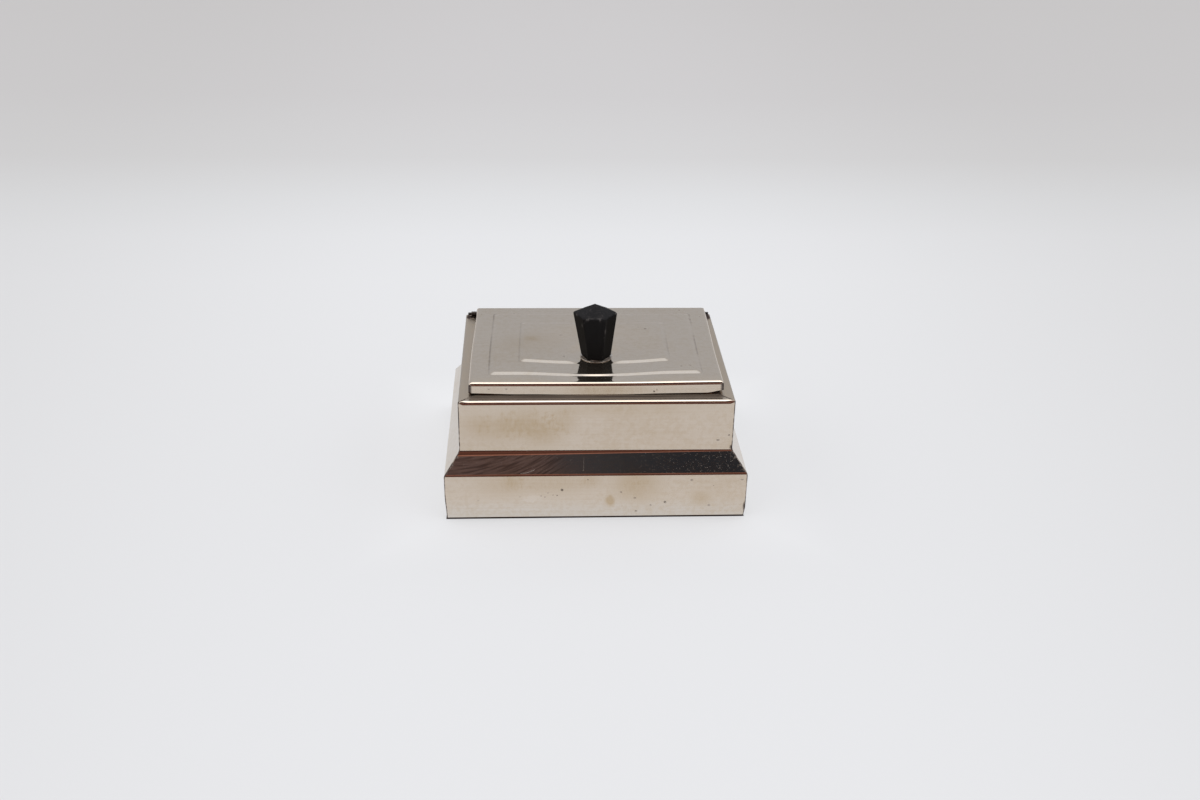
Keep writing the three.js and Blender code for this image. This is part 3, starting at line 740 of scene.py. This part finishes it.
def board_shape(node, quarter):
    """A lining board: its section, rounded over along the top, carried along the board with eased ends,
    which close to an upright line."""
    low, high = node_box(node)
    middle = (low + high) / 2
    along, across = (0, 1) if quarter % 2 == 0 else (1, 0)
    half_length = (high - low)[along] / 2
    half_thick = (high - low)[across] / 2
    arc = np.linspace(0, math.pi / 2, BOARD_RINGS)
    outline, outward = [], []
    edges = [(1, BOARD_ROUND), (-1, BOARD_ROUND), (-1, BOARD_EASE), (1, BOARD_EASE)]
    for turn, (side, radius) in enumerate(edges):
        angle = turn * math.pi / 2 + arc
        normal = spokes_at(angle)
        centre_z = high[2] - radius if turn < 2 else low[2] + radius
        outline.append((side * (half_thick - radius), centre_z) + radius * normal)
        outward.append(normal)
    outline = np.concatenate(outline)
    outward = np.concatenate(outward)
    end = [(half_length - back, inset) for inset, back in quarter_arc(BOARD_EASE, BOARD_RINGS)]
    body = [(x, 0) for x in np.linspace(-half_length, half_length, BOARD_STATIONS)[1:-1]]
    stations = [(-x, inset) for x, inset in reversed(end)] + body + end
    rings = [(x, outline - inset * outward) for x, inset in stations]
    spine = (outline - (0, middle[2])) * (0, BOARD_SPINE) + (0, middle[2])
    rings = [(rings[0][0], spine), *rings, (rings[-1][0], spine)]
    points = np.empty((len(rings), len(outline), 3))
    for row, (x, ring) in zip(points, rings):
        row[:, along] = x + middle[along]
        row[:, across] = ring[:, 0] + middle[across]
        row[:, 2] = ring[:, 1]
    return points, loop_quads(*points.shape[:2])


def colour(red, green, blue):
    return (red, green, blue, 1)


class Shade:
    """A socket in a node tree. Arithmetic on it adds Math nodes, and make() adds any other node."""

    def __init__(self, tree, socket=None):
        self.tree = tree
        self.socket = socket

    def make(self, kind, settings=None, inputs=None, output=0):
        """A node of that kind, its settings first, then the values or links of its inputs; gives one
        output."""
        node = self.tree.nodes.new(kind)
        for key, value in (settings or {}).items():
            if key == "stops":
                ramp = node.color_ramp
                for _ in value[2:]:
                    ramp.elements.new(0.5)
                for element, (position, *tint) in zip(ramp.elements, value):
                    element.position = position
                    element.color = colour(*tint)
            else:
                setattr(node, key, value)
        for key, value in (inputs or {}).items():
            if isinstance(value, Shade):
                self.tree.links.new(value.socket, node.inputs[key])
            else:
                node.inputs[key].default_value = value
        return Shade(self.tree, node.outputs[output])

    def math(self, operation, *values):
        return self.make("ShaderNodeMath", {"operation": operation}, dict(enumerate(values)))

    def __add__(self, other):
        return self.math("ADD", self, other)

    __radd__ = __add__

    def __sub__(self, other):
        return self.math("SUBTRACT", self, other)

    def __rsub__(self, other):
        return self.math("SUBTRACT", other, self)

    def __mul__(self, other):
        return self.math("MULTIPLY", self, other)

    __rmul__ = __mul__

    def above(self, low, high):
        """0 below low, 1 above high and an S-shaped rise between; a low over the high turns it round."""
        limits = {"Value": self, "From Min": low, "From Max": high}
        return self.make("ShaderNodeMapRange", {"interpolation_type": "SMOOTHSTEP"}, limits)

    def mix(self, low, high):
        """One colour or the other by this value."""
        return self.make("ShaderNodeMix", {"data_type": "RGBA"}, {0: self, 6: low, 7: high}, 2)

    def vector(self, operation, *values, output=0):
        return self.make("ShaderNodeVectorMath", {"operation": operation}, dict(enumerate(values)), output)

    def scaled(self, vector, factor):
        return self.make("ShaderNodeVectorMath", {"operation": "SCALE"}, {0: vector, "Scale": factor})

    def axis(self, name):
        """One of this vector's parts: X, Y or Z."""
        return self.make("ShaderNodeSeparateXYZ", None, {0: self}, name)

    def cells(self, place, scale):
        """Distance to the nearest of scattered points, and a random number that each of them has."""
        inputs = {"Vector": place, "Scale": scale, "Randomness": 1}
        distance = self.make("ShaderNodeTexVoronoi", None, inputs, "Distance")
        chance = self.make("ShaderNodeTexVoronoi", None, inputs, "Color")
        return distance, self.make("ShaderNodeSeparateColor", None, {"Color": chance}, "Red")

    def noise(self, place, scale, detail=3, roughness=0.55):
        """Smooth noise; a scale of three numbers stretches it along the axes."""
        if isinstance(scale, tuple):
            place, scale = self.vector("MULTIPLY", place, scale), 1
        inputs = {"Vector": place, "Scale": scale, "Detail": detail, "Roughness": roughness}
        return self.make("ShaderNodeTexNoise", None, inputs, "Fac")

    def place(self):
        return self.make("ShaderNodeTexCoord", output="Object")

    def attribute(self, name):
        return self.make("ShaderNodeAttribute", {"attribute_name": name}, output="Fac")

    def bump(self, strength, distance, height):
        inputs = {"Strength": strength, "Distance": distance, "Height": height}
        return self.make("ShaderNodeBump", None, inputs, "Normal")


def new_finish(name):
    """An empty material with a Principled shader, and its tree to add nodes to."""
    material = bpy.data.materials.new(name)
    material.use_nodes = True
    return material, Shade(material.node_tree), material.node_tree.nodes["Principled BSDF"]


def feed(shade, shader, **links):
    """Links sockets to the shader's inputs by name, with underscores for spaces."""
    for key, value in links.items():
        shade.tree.links.new(value.socket, shader.inputs[key.replace("_", " ")])


NICKEL = colour(0.615, 0.535, 0.456)
# Painted reflection: a cooler nickel for the side walls and low on the plinth, for the cool light mirrored
# there
COOL_REFLECTION_NICKEL = colour(0.61, 0.565, 0.52)
BRIM_NICKEL = colour(0.47, 0.395, 0.32)
TARNISH = colour(0.5, 0.395, 0.275)
# Painted shade and painted reflection: dark brown for the lid's step feet and for the front shoulder's
# streaks
SHADE_AND_REFLECTION_BROWN = colour(0.12, 0.08, 0.058)
# Dark joints and specks, and painted shade at the hinge's ends and at the lid lip's front corners
GRIME_AND_SHADE = colour(0.035, 0.017, 0.011)
# Dirt with painted shadow: the dark brim strip under the lid's lip
DUST_AND_SHADE = colour(0.042, 0.029, 0.023)
SCRATCH = colour(0.3, 0.27, 0.25)

# Sizes in the nickel's pattern: noise and cells per metre, and fades in metres
CLOUD_SCALE = 26
FINE_SCALE = 520
RIDGE_SCALES = (1300, 1300, 260)
SPECK_SCALE = 300
DOT_SCALE = 1800
COOL_REFLECTION_FADE = (0.011, 0.001)
REFLECTION_STREAK_FADE = (-0.008, -0.02)
DOT_FADE = (0, 0.045)
SWEEP_CENTRE = -0.06
SCRATCH_FADE = (0.00018, 0.00006)
SCRATCH_WANDER = 0.0003


def patch(place, centre, size, ragged):
    """How deep a place lies in an ellipsoid given by its centre and half sizes: 1 in the middle, 0 outside.
    A noise makes its edge ragged."""
    away = place.vector("SUBTRACT", place, Vector(centre) * MM)
    away = place.vector("DIVIDE", away, Vector(size) * MM)
    return (place.vector("LENGTH", away, output="Value") + ragged).above(1, 0.1)


def scratch(place, start, stop, ragged):
    """1 on a straight line from start to stop and 0 beside it, by the distance to the line's nearest point.
    A noise makes it ragged."""
    start = Vector(start) * MM
    along = Vector(stop) * MM - start
    away = place.vector("SUBTRACT", place, start)
    share = place.vector("DOT_PRODUCT", away, along / along.length_squared, output="Value")
    nearest = place.scaled(along, place.make("ShaderNodeClamp", None, {"Value": share}))
    gap = place.vector("LENGTH", place.vector("SUBTRACT", away, nearest), output="Value")
    return (gap + ragged).above(*SCRATCH_FADE)


def nickel_finish(name, grain, clean=NICKEL, smudges=(), pits_and_shade=(), scratches=(), haze=0):
    """Old nickel plate: fine lines brushed along the sheet, cloudy tarnish, sparse dark specks, dirt with
    painted shadow before the lid's lip, dark joints along the mitres, painted shade at the lid lip's front
    corners, dirt with painted shade at the lid's step feet, dark curved streaks on the front's shoulder that
    are a painted reflection, pale dots there, and smudges, pitting, scratches and painted shade at the
    hinge's ends at given places. A cooler tint on the side walls and low on the plinth is a painted
    reflection. The haze is the share of the plate that no longer mirrors."""
    material, shade, shader = new_finish(name)
    place = shade.place()
    x, z = place.axis("X"), place.axis("Z")
    brush = shade.noise(place, grain, 2)
    ridge = shade.noise(place, RIDGE_SCALES, 2)
    cloud = shade.noise(place, CLOUD_SCALE, 5, 0.6)
    fine = shade.noise(place, FINE_SCALE, 4, 0.6)
    seam, dull, slope = (shade.attribute(wear_and_painted_light) for wear_and_painted_light in ("seam", "dull", "slope"))

    tarnish = 0.22 * (cloud + 0.22 * fine).above(0.55, 0.82) + 0.14 * fine.above(0.42, 0.62) + 0.3 * brush
    for centre, size, depth in smudges:
        tarnish = tarnish + depth * patch(place, centre, size, 1.3 * (fine - 0.5)) * (0.5 + ridge)

    speck, chance = shade.cells(place, SPECK_SCALE)
    grime_and_shade = 0.5 * speck.above(0.13, 0.03) * chance.above(0.95, 0.955)
    grime_and_shade = grime_and_shade + seam.above(0.4, 0.95) * (0.4 + fine.above(0.4, 0.6))
    for centre, size, depth in pits_and_shade:
        grime_and_shade = grime_and_shade + depth * patch(place, centre, size, 0.6 * (fine - 0.5))

    # The brim's dark strip before the lid's lip is dirt plus painted shadow from the lip
    dust = shade.attribute("dust") * (0.85 + 0.15 * cloud.above(0.3, 0.6)) * (0.65 + 0.65 * brush)
    crease = shade.attribute("crease") * cloud.above(0.36, 0.56) * (0.4 + fine)
    # Painted reflection: dark brown curved streaks on the left of the front's shoulder stand in for the dark
    # room mirrored there
    sweep = x - SWEEP_CENTRE
    flow = {0: 100 * x + 45 * z, 1: 1600 * z - 9000 * sweep * sweep}
    reflection_streak = shade.noise(shade.make("ShaderNodeCombineXYZ", None, flow), 1, 4).above(0.4, 0.65)
    reflection_streak = reflection_streak * slope * x.above(*REFLECTION_STREAK_FADE)

    dot, picked = shade.cells(place, DOT_SCALE)
    pale = slope * dot.above(0.45, 0.2) * picked.above(0.5, 1) * (0.1 + 0.4 * x.above(*DOT_FADE))
    pale = pale + slope * seam.above(0.05, 0.5) * fine.above(0.5, 0.6)
    for start, stop, depth in scratches:
        pale = pale + depth * scratch(place, start, stop, SCRATCH_WANDER * (fine - 0.5))

    # Painted reflection: the cooler tint low on the plinth stands in for the pale floor mirrored there
    tint = dull.mix(z.above(*COOL_REFLECTION_FADE).mix(clean, COOL_REFLECTION_NICKEL), BRIM_NICKEL)
    # Dark brown: dirt with painted shade at the lid's step feet, and the painted reflection streaks on the
    # shoulder
    dark = 0.45 * crease + 0.6 * reflection_streak
    coats = [(tarnish, TARNISH), (dark, SHADE_AND_REFLECTION_BROWN), (dust, DUST_AND_SHADE), (pale, SCRATCH), (grime_and_shade, GRIME_AND_SHADE)]
    for share, coat in coats:
        tint = share.mix(tint, coat)
    rough = 0.05 + 0.04 * brush + 0.08 * tarnish + 0.3 * grime_and_shade + 0.25 * dull + 0.1 * crease
    metal = 1 - haze - 0.85 * grime_and_shade - 0.85 * dust - 0.7 * pale
    bump = shade.bump(0.04, 0.00002, brush + fine)
    feed(shade, shader, Base_Color=tint, Roughness=rough, Metallic=metal, Normal=bump)
    return material


RESIN = colour(0.0035, 0.0032, 0.0032)
LIT_FRONT_RESIN = colour(0.012, 0.0118, 0.012)
LIT_TOP_RESIN = colour(0.018, 0.0176, 0.0185)
RUBBED_RESIN = colour(0.12, 0.11, 0.105)
RUB_SCALES = (900, 900, 120)
RASP_SCALES = (500, 2500, 2500)
BLOTCH_SCALE = 300


def resin_finish(scuffs):
    """Black moulded resin: dull gloss, greyer along worn edges and in scuffs at given places, with fine
    rubbing; the front faces and the pyramid are painted lighter, as painted light."""
    material, shade, shader = new_finish("black_resin")
    place = shade.place()
    rub = shade.noise(place, RUB_SCALES, 4)
    blotch = shade.noise(place, BLOTCH_SCALE, 4)
    rasp = shade.noise(place, RASP_SCALES).above(0.5, 0.7)
    worn = shade.attribute("edge") * (0.4 * rub + 0.6 * blotch).above(0.52, 0.62)
    for centre, size, depth in scuffs:
        worn = worn + depth * patch(place, centre, size, 0.9 * (blotch - 0.5))
    # Painted light: the front faces are lighter than the rest of the body
    tint = shade.attribute("front").mix(RESIN, LIT_FRONT_RESIN)
    tint = (0.03 * rub).mix(tint, RUBBED_RESIN)
    top = shade.attribute("top")
    # Painted light: the pyramid on top is lighter still
    tint = top.mix(tint, LIT_TOP_RESIN)
    tint = (0.6 * worn + 0.14 * top * rasp).mix(tint, RUBBED_RESIN)
    rough = 0.4 + 0.15 * rub + 0.12 * worn
    shader.inputs["Specular IOR Level"].default_value = 0.02
    feed(shade, shader, Base_Color=tint, Roughness=rough, Normal=shade.bump(0.15, 0.00005, rub + blotch))
    return material


MARK_SCALE = 1500
SOIL_SCALE = 220


def metal_finish(name, clean, dirt, roughness):
    """Plain turned or rolled metal with fine marks and dirt in patches."""
    material, shade, shader = new_finish(name)
    place = shade.place()
    fine = shade.noise(place, MARK_SCALE, 4, 0.6)
    soiled = shade.noise(place, SOIL_SCALE, 4, 0.6).above(0.42, 0.66)
    rough = roughness + 0.15 * fine + 0.2 * soiled
    feed(shade, shader, Base_Color=soiled.mix(clean, dirt), Roughness=rough, Metallic=1 - 0.5 * soiled)
    return material


EARLY_WOOD = colour(0.38, 0.165, 0.075)
LATE_WOOD = colour(0.2, 0.065, 0.026)
PORE = colour(0.09, 0.03, 0.013)
WANDER_SCALE = 25
PORE_SCALE = 7


def cedar_finish(name, stretch):
    """Cedar: fine streaks along the board between pale early wood and red late wood, with pores."""
    material, shade, shader = new_finish(name)
    place = shade.place()
    wander = shade.noise(place, WANDER_SCALE, 3)
    along = shade.vector("MULTIPLY", place, stretch)
    lines = shade.noise(along, 1, 5, 0.6)
    pores = shade.noise(along, PORE_SCALE, 2)
    tint = (lines + 0.5 * wander).above(0.5, 1).mix(EARLY_WOOD, LATE_WOOD)
    tint = (0.35 * pores.above(0.55, 0.75)).mix(tint, PORE)
    bump = shade.bump(0.25, 0.0001, lines + pores)
    feed(shade, shader, Base_Color=tint, Roughness=0.55 + 0.2 * lines, Normal=bump)
    return material


# Wear at given places: smudges, pitting and scuffs with their centre, half sizes and depth, and scratches
# with their ends and depth; the patches at the hinge's ends are painted shade. Spots on the front have x, z,
# half width, half height and depth, and reach through the sheet
SPOT_REACH = 20


def front_spots(rows):
    """Spots of wear on the front: those below the plinth's top lie on the plinth, the others on the upper
    wall."""
    spots = []
    for x, z, width, height, depth in rows:
        y = -HALF_DEPTH if z < PLINTH_HEIGHT else SHOULDER_RUN - HALF_DEPTH
        spots.append(((x, y, z), (width, SPOT_REACH, height), depth))
    return spots


FRONT_SMUDGES = front_spots([
    (-47, 39, 9, 8, 0.35),
    (-38, 38.2, 12, 8.5, 0.45),
    (-29, 39.5, 13, 9.5, 0.5),
    (-20.5, 35.5, 11, 9.5, 0.5),
    (-13, 40.5, 8, 8, 0.4),
    (5, 46, 45, 5, 0.25),
    (5.5, 7.8, 2.6, 3.8, 1),
    (-36, 16, 17, 8.5, 0.35),
    (-15, 16.5, 20, 8.5, 0.35),
    (16, 15, 13, 10, 0.5),
    (41.5, 8.6, 6, 5, 0.3),
    (-25.5, 8.9, 4, 2.4, -0.6),
    (-2.6, 17.2, 6, 5, 0.3),
    (-33.3, 16.8, 5, 5, 0.3),
])
FRONT_PITS = front_spots([
    (48, 31.7, 1, 0.6, 0.5),
    (52.3, 33.9, 0.6, 0.6, 0.5),
    (53.6, 28.5, 1.2, 1.6, 1),
    (-13.6, 12.9, 0.8, 0.8, 0.9),
    (-15.6, 10.4, 0.5, 0.5, 0.5),
    (9.8, 11.7, 0.7, 0.7, 0.4),
    (15.4, 8.9, 0.9, 0.6, 0.4),
    (27.5, 6.9, 0.8, 0.8, 0.7),
    (37.8, 17, 0.9, 0.8, 0.4),
    (16, 2.8, 0.8, 0.5, 0.6),
    (21.8, 5.5, 0.6, 0.6, 0.4),
    (45.2, 5.2, 0.9, 0.7, 0.3),
    (57.8, 17, 0.9, 0.5, 0.4),
    (59.4, 4.5, 0.7, 3, 0.9),
    (-20.4, 9.7, 0.5, 0.4, 0.4),
    (-19.2, 11.6, 0.5, 0.4, 0.3),
    (-17.2, 10.6, 0.4, 0.4, 0.3),
    (-21.9, 10.2, 0.5, 0.4, 0.3),
    (-30.3, 9.9, 0.5, 0.4, 0.2),
])
FRONT_SCRATCHES = [
    ((-30, -47.1, 20.3), (-27.4, -46.9, 20.5), 0.7),
    ((-27.4, -46.9, 20.5), (-24.5, -46.3, 21.4), 0.9),
    ((-4.9, -43.3, 25.3), (-5.3, -46.6, 20.9), 0.25),
]
LID_SMUDGES = [
    ((2, -35.8, 51.5), (24, 2, 6), 0.5),
    ((-25, 1, 54.5), (18, 11, 10), 0.2),
    ((-25.5, 3.6, 54.5), (5, 4, 10), 0.4),
]
LID_PITS = [
    ((-13, 8, 54.8), (0.8, 0.8, 20), 0.4),
    ((22.6, 12.7, 55.3), (0.9, 0.9, 20), 0.8),
    ((38, -22, 54.8), (0.9, 1.4, 20), 0.4),
    ((22.5, -36, 50.4), (0.5, 2, 0.6), 0.9),
    ((23.6, -36, 51), (0.4, 2, 0.4), 0.6),
    ((-42, -36, 51.6), (0.8, 2, 0.4), 0.3),
    ((-35.3, -36, 51.6), (0.8, 2, 0.4), 0.3),
    ((18.3, 29.2, 54.2), (0.8, 1, 20), 0.4),
    ((39.3, 34, 54.2), (0.7, 1, 20), 0.5),
    ((47.5, 27.2, 54.2), (0.6, 1, 20), 0.3),
    ((42.8, 24.3, 54.2), (0.8, 1.4, 20), 0.4),
    ((34.3, -22.5, 54.2), (0.7, 1, 20), 0.4),
    ((-12.2, -11.5, 54.2), (0.7, 1.2, 20), 0.4),
    ((-32.8, 31.2, 54.2), (0.6, 1, 20), 0.2),
]
KNOB_SCUFFS = [
    ((3.9, -16.6, 67.6), (0.5, 1.2, 1.8), 1),
    ((-5.3, -15.5, 69.4), (0.5, 1.2, 1.6), 0.8),
    ((-1.8, -17.4, 73.1), (1.6, 1.2, 0.3), 0.8),
    ((1.2, -17.4, 73.2), (1.8, 1.2, 0.3), 0.6),
    ((3.1, -13, 73), (0.6, 2, 0.8), 0.5),
]
# Painted shade: dark patches at the hinge's ends stand in for the shadowed gap there
HINGE_GAP_SHADE = [
    ((52.5, 38.5, 49.1), (1.8, 4.5, 2), 1.8),
    ((-50.7, 40, 49.1), (1.8, 3.4, 2), 1.8),
    ((-52.6, 38.9, 49.1), (1.6, 3, 2), 1.8),
]
ALONG_X = (25, 1500, 1500)
ALONG_Y = (1500, 25, 1500)
WOOD_ALONG_X = (25, 900, 900)
WOOD_ALONG_Y = (900, 25, 900)
nickel_front = nickel_finish("nickel_front", ALONG_X, NICKEL, FRONT_SMUDGES, FRONT_PITS, FRONT_SCRATCHES)
nickel_lid = nickel_finish("nickel_lid", ALONG_X, NICKEL, LID_SMUDGES, LID_PITS, haze=0.02)
# The hinge-end patches passed in with the pitting are painted shade
nickel_long = nickel_finish("nickel_long", ALONG_X, pits_and_shade=HINGE_GAP_SHADE)
nickel_short = nickel_finish("nickel_short", ALONG_Y, COOL_REFLECTION_NICKEL, pits_and_shade=HINGE_GAP_SHADE)
resin = resin_finish(KNOB_SCUFFS)
dark_steel = metal_finish("dark_steel", colour(0.07, 0.06, 0.053), colour(0.016, 0.012, 0.01), 0.32)
brass = metal_finish("brass", colour(0.6, 0.4, 0.15), colour(0.25, 0.14, 0.05), 0.28)
dull_nickel = metal_finish("dull_nickel", colour(0.55, 0.5, 0.45), colour(0.2, 0.16, 0.13), 0.2)
cedar_long = cedar_finish("cedar_long", WOOD_ALONG_X)
cedar_short = cedar_finish("cedar_short", WOOD_ALONG_Y)

for quarter, side in enumerate(["front", "right", "rear", "left"]):
    plate = [nickel_front, nickel_short, nickel_long, nickel_short][quarter]
    wall, wear_and_painted_light = wall_shape(quarter)
    add_piece(f"{side}_wall_sheet", wall, "case", f"{side}_wall", "nickel_plate", plate, **wear_and_painted_light)
    wood = cedar_long if quarter % 2 == 0 else cedar_short
    board = board_shape(f"lining_{side}", quarter)
    add_piece(f"{side}_lining_board", board, "case", f"lining_{side}", "cedar", wood)

floor_board = plate_shape(*node_box("lining_floor"), LEAF_EASE)
add_piece("floor_lining_board", floor_board, "case", "lining_floor", "cedar", cedar_long)
lid, wear_and_painted_light = lid_shape()
add_piece("lid_pressing", lid, "lid", "lid_shell", "nickel_plate", nickel_lid, **wear_and_painted_light)
knob, wear_and_painted_light = knob_shape()
add_piece("faceted_knob", knob, "lid", "knob", "black_resin", resin, **wear_and_painted_light)
add_piece("knob_ring", ring_shape(), "lid", "knob_washer", "nickel_plate", dull_nickel)
for name, shape, body, node in (
    ("screw_ring", washer_shape(), "lid", "screw_washer"),
    ("slotted_screw", screw_shape(), "lid", "knob_screw"),
    ("hinge_rod", pin_shape(), "case", "hinge_pin"),
    ("case_hinge_leaf", body_leaf_shape(), "case", "hinge_body_leaf"),
    ("lid_hinge_leaf", lid_leaf_shape(), "lid", "hinge_lid_leaf"),
):
    add_piece(name, shape, body, node, "dark_steel", dark_steel)
for node, finish in (("base_plate", nickel_long), ("knob_bush", brass)):
    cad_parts[node].data.materials.clear()
    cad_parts[node].data.materials.append(finish)


# Stage: a pale floor with painted shade that falls off to grey with the distance behind the box; stops are
# that distance in metres and a tone
FLOOR_REACH = 4000
FLOOR_GLOW = 0.6
FLOOR_MIRRORED_GLOW = 0.95
# Painted contact shadow along the line where the box stands
PAINTED_CONTACT_SHADOW = colour(0.022, 0.012, 0.01)
CONTACT_SHADOW_REACH = 0.0004
# Painted pool of light: the floor's glow is stronger near the box
LIGHT_POOL_REACH = 0.04
LIGHT_POOL_GAIN = 0.09
MIRRORED_GAIN = 0.13
# Painted shade: the floor greys towards the sides
SIDE_SHADE_FADE = (0.05, 0.4)
SIDE_SHADE_GREY = colour(0.48, 0.47, 0.46)
FLOOR_SHADE_TONES = [
    (0.20, 0.765, 0.770, 0.784),
    (0.27, 0.750, 0.755, 0.769),
    (0.34, 0.705, 0.710, 0.720),
    (0.43, 0.638, 0.634, 0.638),
    (0.60, 0.600, 0.590, 0.595),
    (1.00, 0.577, 0.565, 0.568),
]


def add_floor():
    """A level square under the box, greyed by painted shade with the distance behind it and towards the
    sides. Part of its tone comes from the light on it, which keeps the box's shadow, and part is a glow for
    what the camera and the metal see, with a painted pool of light beside the box. A painted contact shadow
    darkens it along the line where the box stands."""
    corners = FLOOR_REACH * np.array([(-1, -1, 0), (1, -1, 0), (1, 1, 0), (-1, 1, 0)])
    mesh = bpy.data.meshes.new("floor")
    mesh.from_pydata(corners * MM, [], [(0, 1, 2, 3)])
    material, shade, shader = new_finish("pale_floor")
    place = shade.place()
    behind = place.axis("Y")
    aside = shade.math("ABSOLUTE", place.axis("X"))
    half_foot = HALF_WIDTH - LEFT_DENT[0]
    outside = shade.math("MAXIMUM", aside - half_foot * MM, shade.math("ABSOLUTE", behind) - HALF_DEPTH * MM)
    tone = shade.make("ShaderNodeValToRGB", {"stops": FLOOR_SHADE_TONES}, {"Fac": behind}, "Color")
    tone = (0.3 * aside.above(*SIDE_SHADE_FADE)).mix(tone, SIDE_SHADE_GREY)
    # Painted contact shadow: the floor goes dark at the box's footprint
    tone = outside.above(0, CONTACT_SHADOW_REACH).mix(PAINTED_CONTACT_SHADOW, tone)
    feed(shade, shader, Base_Color=tone)
    shader.inputs["Roughness"].default_value = 0.9
    shader.inputs["Specular IOR Level"].default_value = 0
    mirrored = shade.make("ShaderNodeLightPath", output="Is Glossy Ray")
    # Painted pool of light beside the box
    light_pool = 1 + LIGHT_POOL_GAIN * outside.above(LIGHT_POOL_REACH, 0) + MIRRORED_GAIN * mirrored
    glow = shade.make("ShaderNodeEmission", None, {"Color": shade.scaled(tone, light_pool)})
    direct = shade.make("ShaderNodeLightPath", output="Is Camera Ray")
    seen = FLOOR_GLOW * direct + FLOOR_MIRRORED_GLOW * mirrored
    lit = Shade(shade.tree, shader.outputs[0])
    surface = shade.make("ShaderNodeMixShader", None, {0: seen, 1: lit, 2: glow})
    shade.tree.links.new(surface.socket, shade.tree.nodes["Material Output"].inputs["Surface"])
    mesh.materials.append(material)
    floor = bpy.data.objects.new("floor", mesh)
    bpy.context.scene.collection.objects.link(floor)


# Tent of light: stops are the angle over the box, from straight in front (0) through overhead to straight
# behind (1), and a tone
TENT_TONES = [
    (0.00, 0.065, 0.032, 0.026),
    (0.03, 0.065, 0.032, 0.026),
    (0.05, 0.18, 0.072, 0.055),
    (0.11, 0.15, 0.062, 0.048),
    (0.14, 0.1, 0.048, 0.039),
    (0.165, 0.18, 0.075, 0.06),
    (0.18, 0.48, 0.23, 0.18),
    (0.205, 0.48, 0.23, 0.18),
    (0.22, 0.048, 0.053, 0.066),
    (0.30, 0.048, 0.053, 0.066),
    (0.33, 0.12, 0.055, 0.042),
    (0.41, 0.12, 0.055, 0.042),
    (0.44, 3, 3, 3),
    (0.57, 3, 3, 3),
    (0.64, 1.02, 1.09, 1.2),
    (0.71, 0.99, 1.06, 1.17),
    (0.78, 0.62, 0.64, 0.67),
    (0.88, 0.57, 0.6, 0.645),
    (1.00, 0.6, 0.6, 0.62),
]
OPENING_RISE = (0.21, 0.222)
OPENING_FALL = (0.34, 0.3)
RIGHT_OPENING_EDGE = (0.05, 0.12)
LEFT_OPENING_EDGE = (0.025, 0.019)
LEFT_LIGHT_EDGE = (-0.5, -0.6)
RIGHT_LIGHT_EDGE = (0.5, 0.6)
BELOW_EDGE = (0, -0.03)
RIGHT_OPENING = colour(0.029, 0.034, 0.046)
LEFT_OPENING = colour(0.155, 0.11, 0.112)
LEFT_LIGHT = colour(1.2, 1.2, 1.2)
RIGHT_LIGHT = colour(1.06, 1.1, 1.13)
LIGHT_BELOW = colour(0.62, 0.62, 0.62)
BACKDROP = colour(0.6, 0.59, 0.59)


def add_studio_light():
    """A soft tent of light: bright overhead and at the sides, grey behind, and in front the dark opening
    that the camera looks through, brown low down, paler to the left and charcoal to the right. The camera
    itself sees a pale backdrop."""
    world = bpy.data.worlds.new("soft_tent")
    world.use_nodes = True
    bpy.context.scene.world = world
    shade = Shade(world.node_tree)
    place = shade.make("ShaderNodeTexCoord", output="Generated")
    x, y, z = (place.axis(name) for name in "XYZ")
    over = shade.math("ARCTAN2", z, 0 - y) * (1 / math.pi)
    tent = shade.make("ShaderNodeValToRGB", {"stops": TENT_TONES}, {"Fac": over}, "Color")
    opening = over.above(*OPENING_RISE) * over.above(*OPENING_FALL)
    for share, light in (
        (opening * x.above(*RIGHT_OPENING_EDGE), RIGHT_OPENING),
        (opening * x.above(*LEFT_OPENING_EDGE), LEFT_OPENING),
        (x.above(*LEFT_LIGHT_EDGE), LEFT_LIGHT),
        (x.above(*RIGHT_LIGHT_EDGE), RIGHT_LIGHT),
        (z.above(*BELOW_EDGE), LIGHT_BELOW),
        (shade.make("ShaderNodeLightPath", output="Is Camera Ray"), BACKDROP),
    ):
        tent = share.mix(tent, light)
    shade.tree.links.new(tent.socket, world.node_tree.nodes["Background"].inputs["Color"])


# Camera: where the picture was taken from, with its turn, tilt and roll
CAMERA_PLACE = (-25.85, -493.36, 286.67)
CAMERA_PITCH = math.radians(27.63)
CAMERA_YAW = math.radians(3.4)
CAMERA_ROLL = math.radians(-1.25)
CAMERA_LENS = 39.58
SENSOR_WIDTH = 36


def add_camera():
    """A camera turned to the right by its yaw, tilted down by its pitch and turned about its own axis by
    its roll."""
    camera = bpy.data.objects.new("camera", bpy.data.cameras.new("camera"))
    camera.data.lens = CAMERA_LENS
    camera.data.sensor_width = SENSOR_WIDTH
    pose = Matrix.Translation(Vector(CAMERA_PLACE) * MM)
    for angle, axis in ((-CAMERA_YAW, "Z"), (math.pi / 2 - CAMERA_PITCH, "X"), (-CAMERA_ROLL, "Z")):
        pose = pose @ Matrix.Rotation(angle, 4, axis)
    camera.matrix_world = pose
    bpy.context.scene.collection.objects.link(camera)
    bpy.context.scene.camera = camera


add_floor()
add_studio_light()
add_camera()
bpy.context.scene.view_settings.view_transform = "Standard"
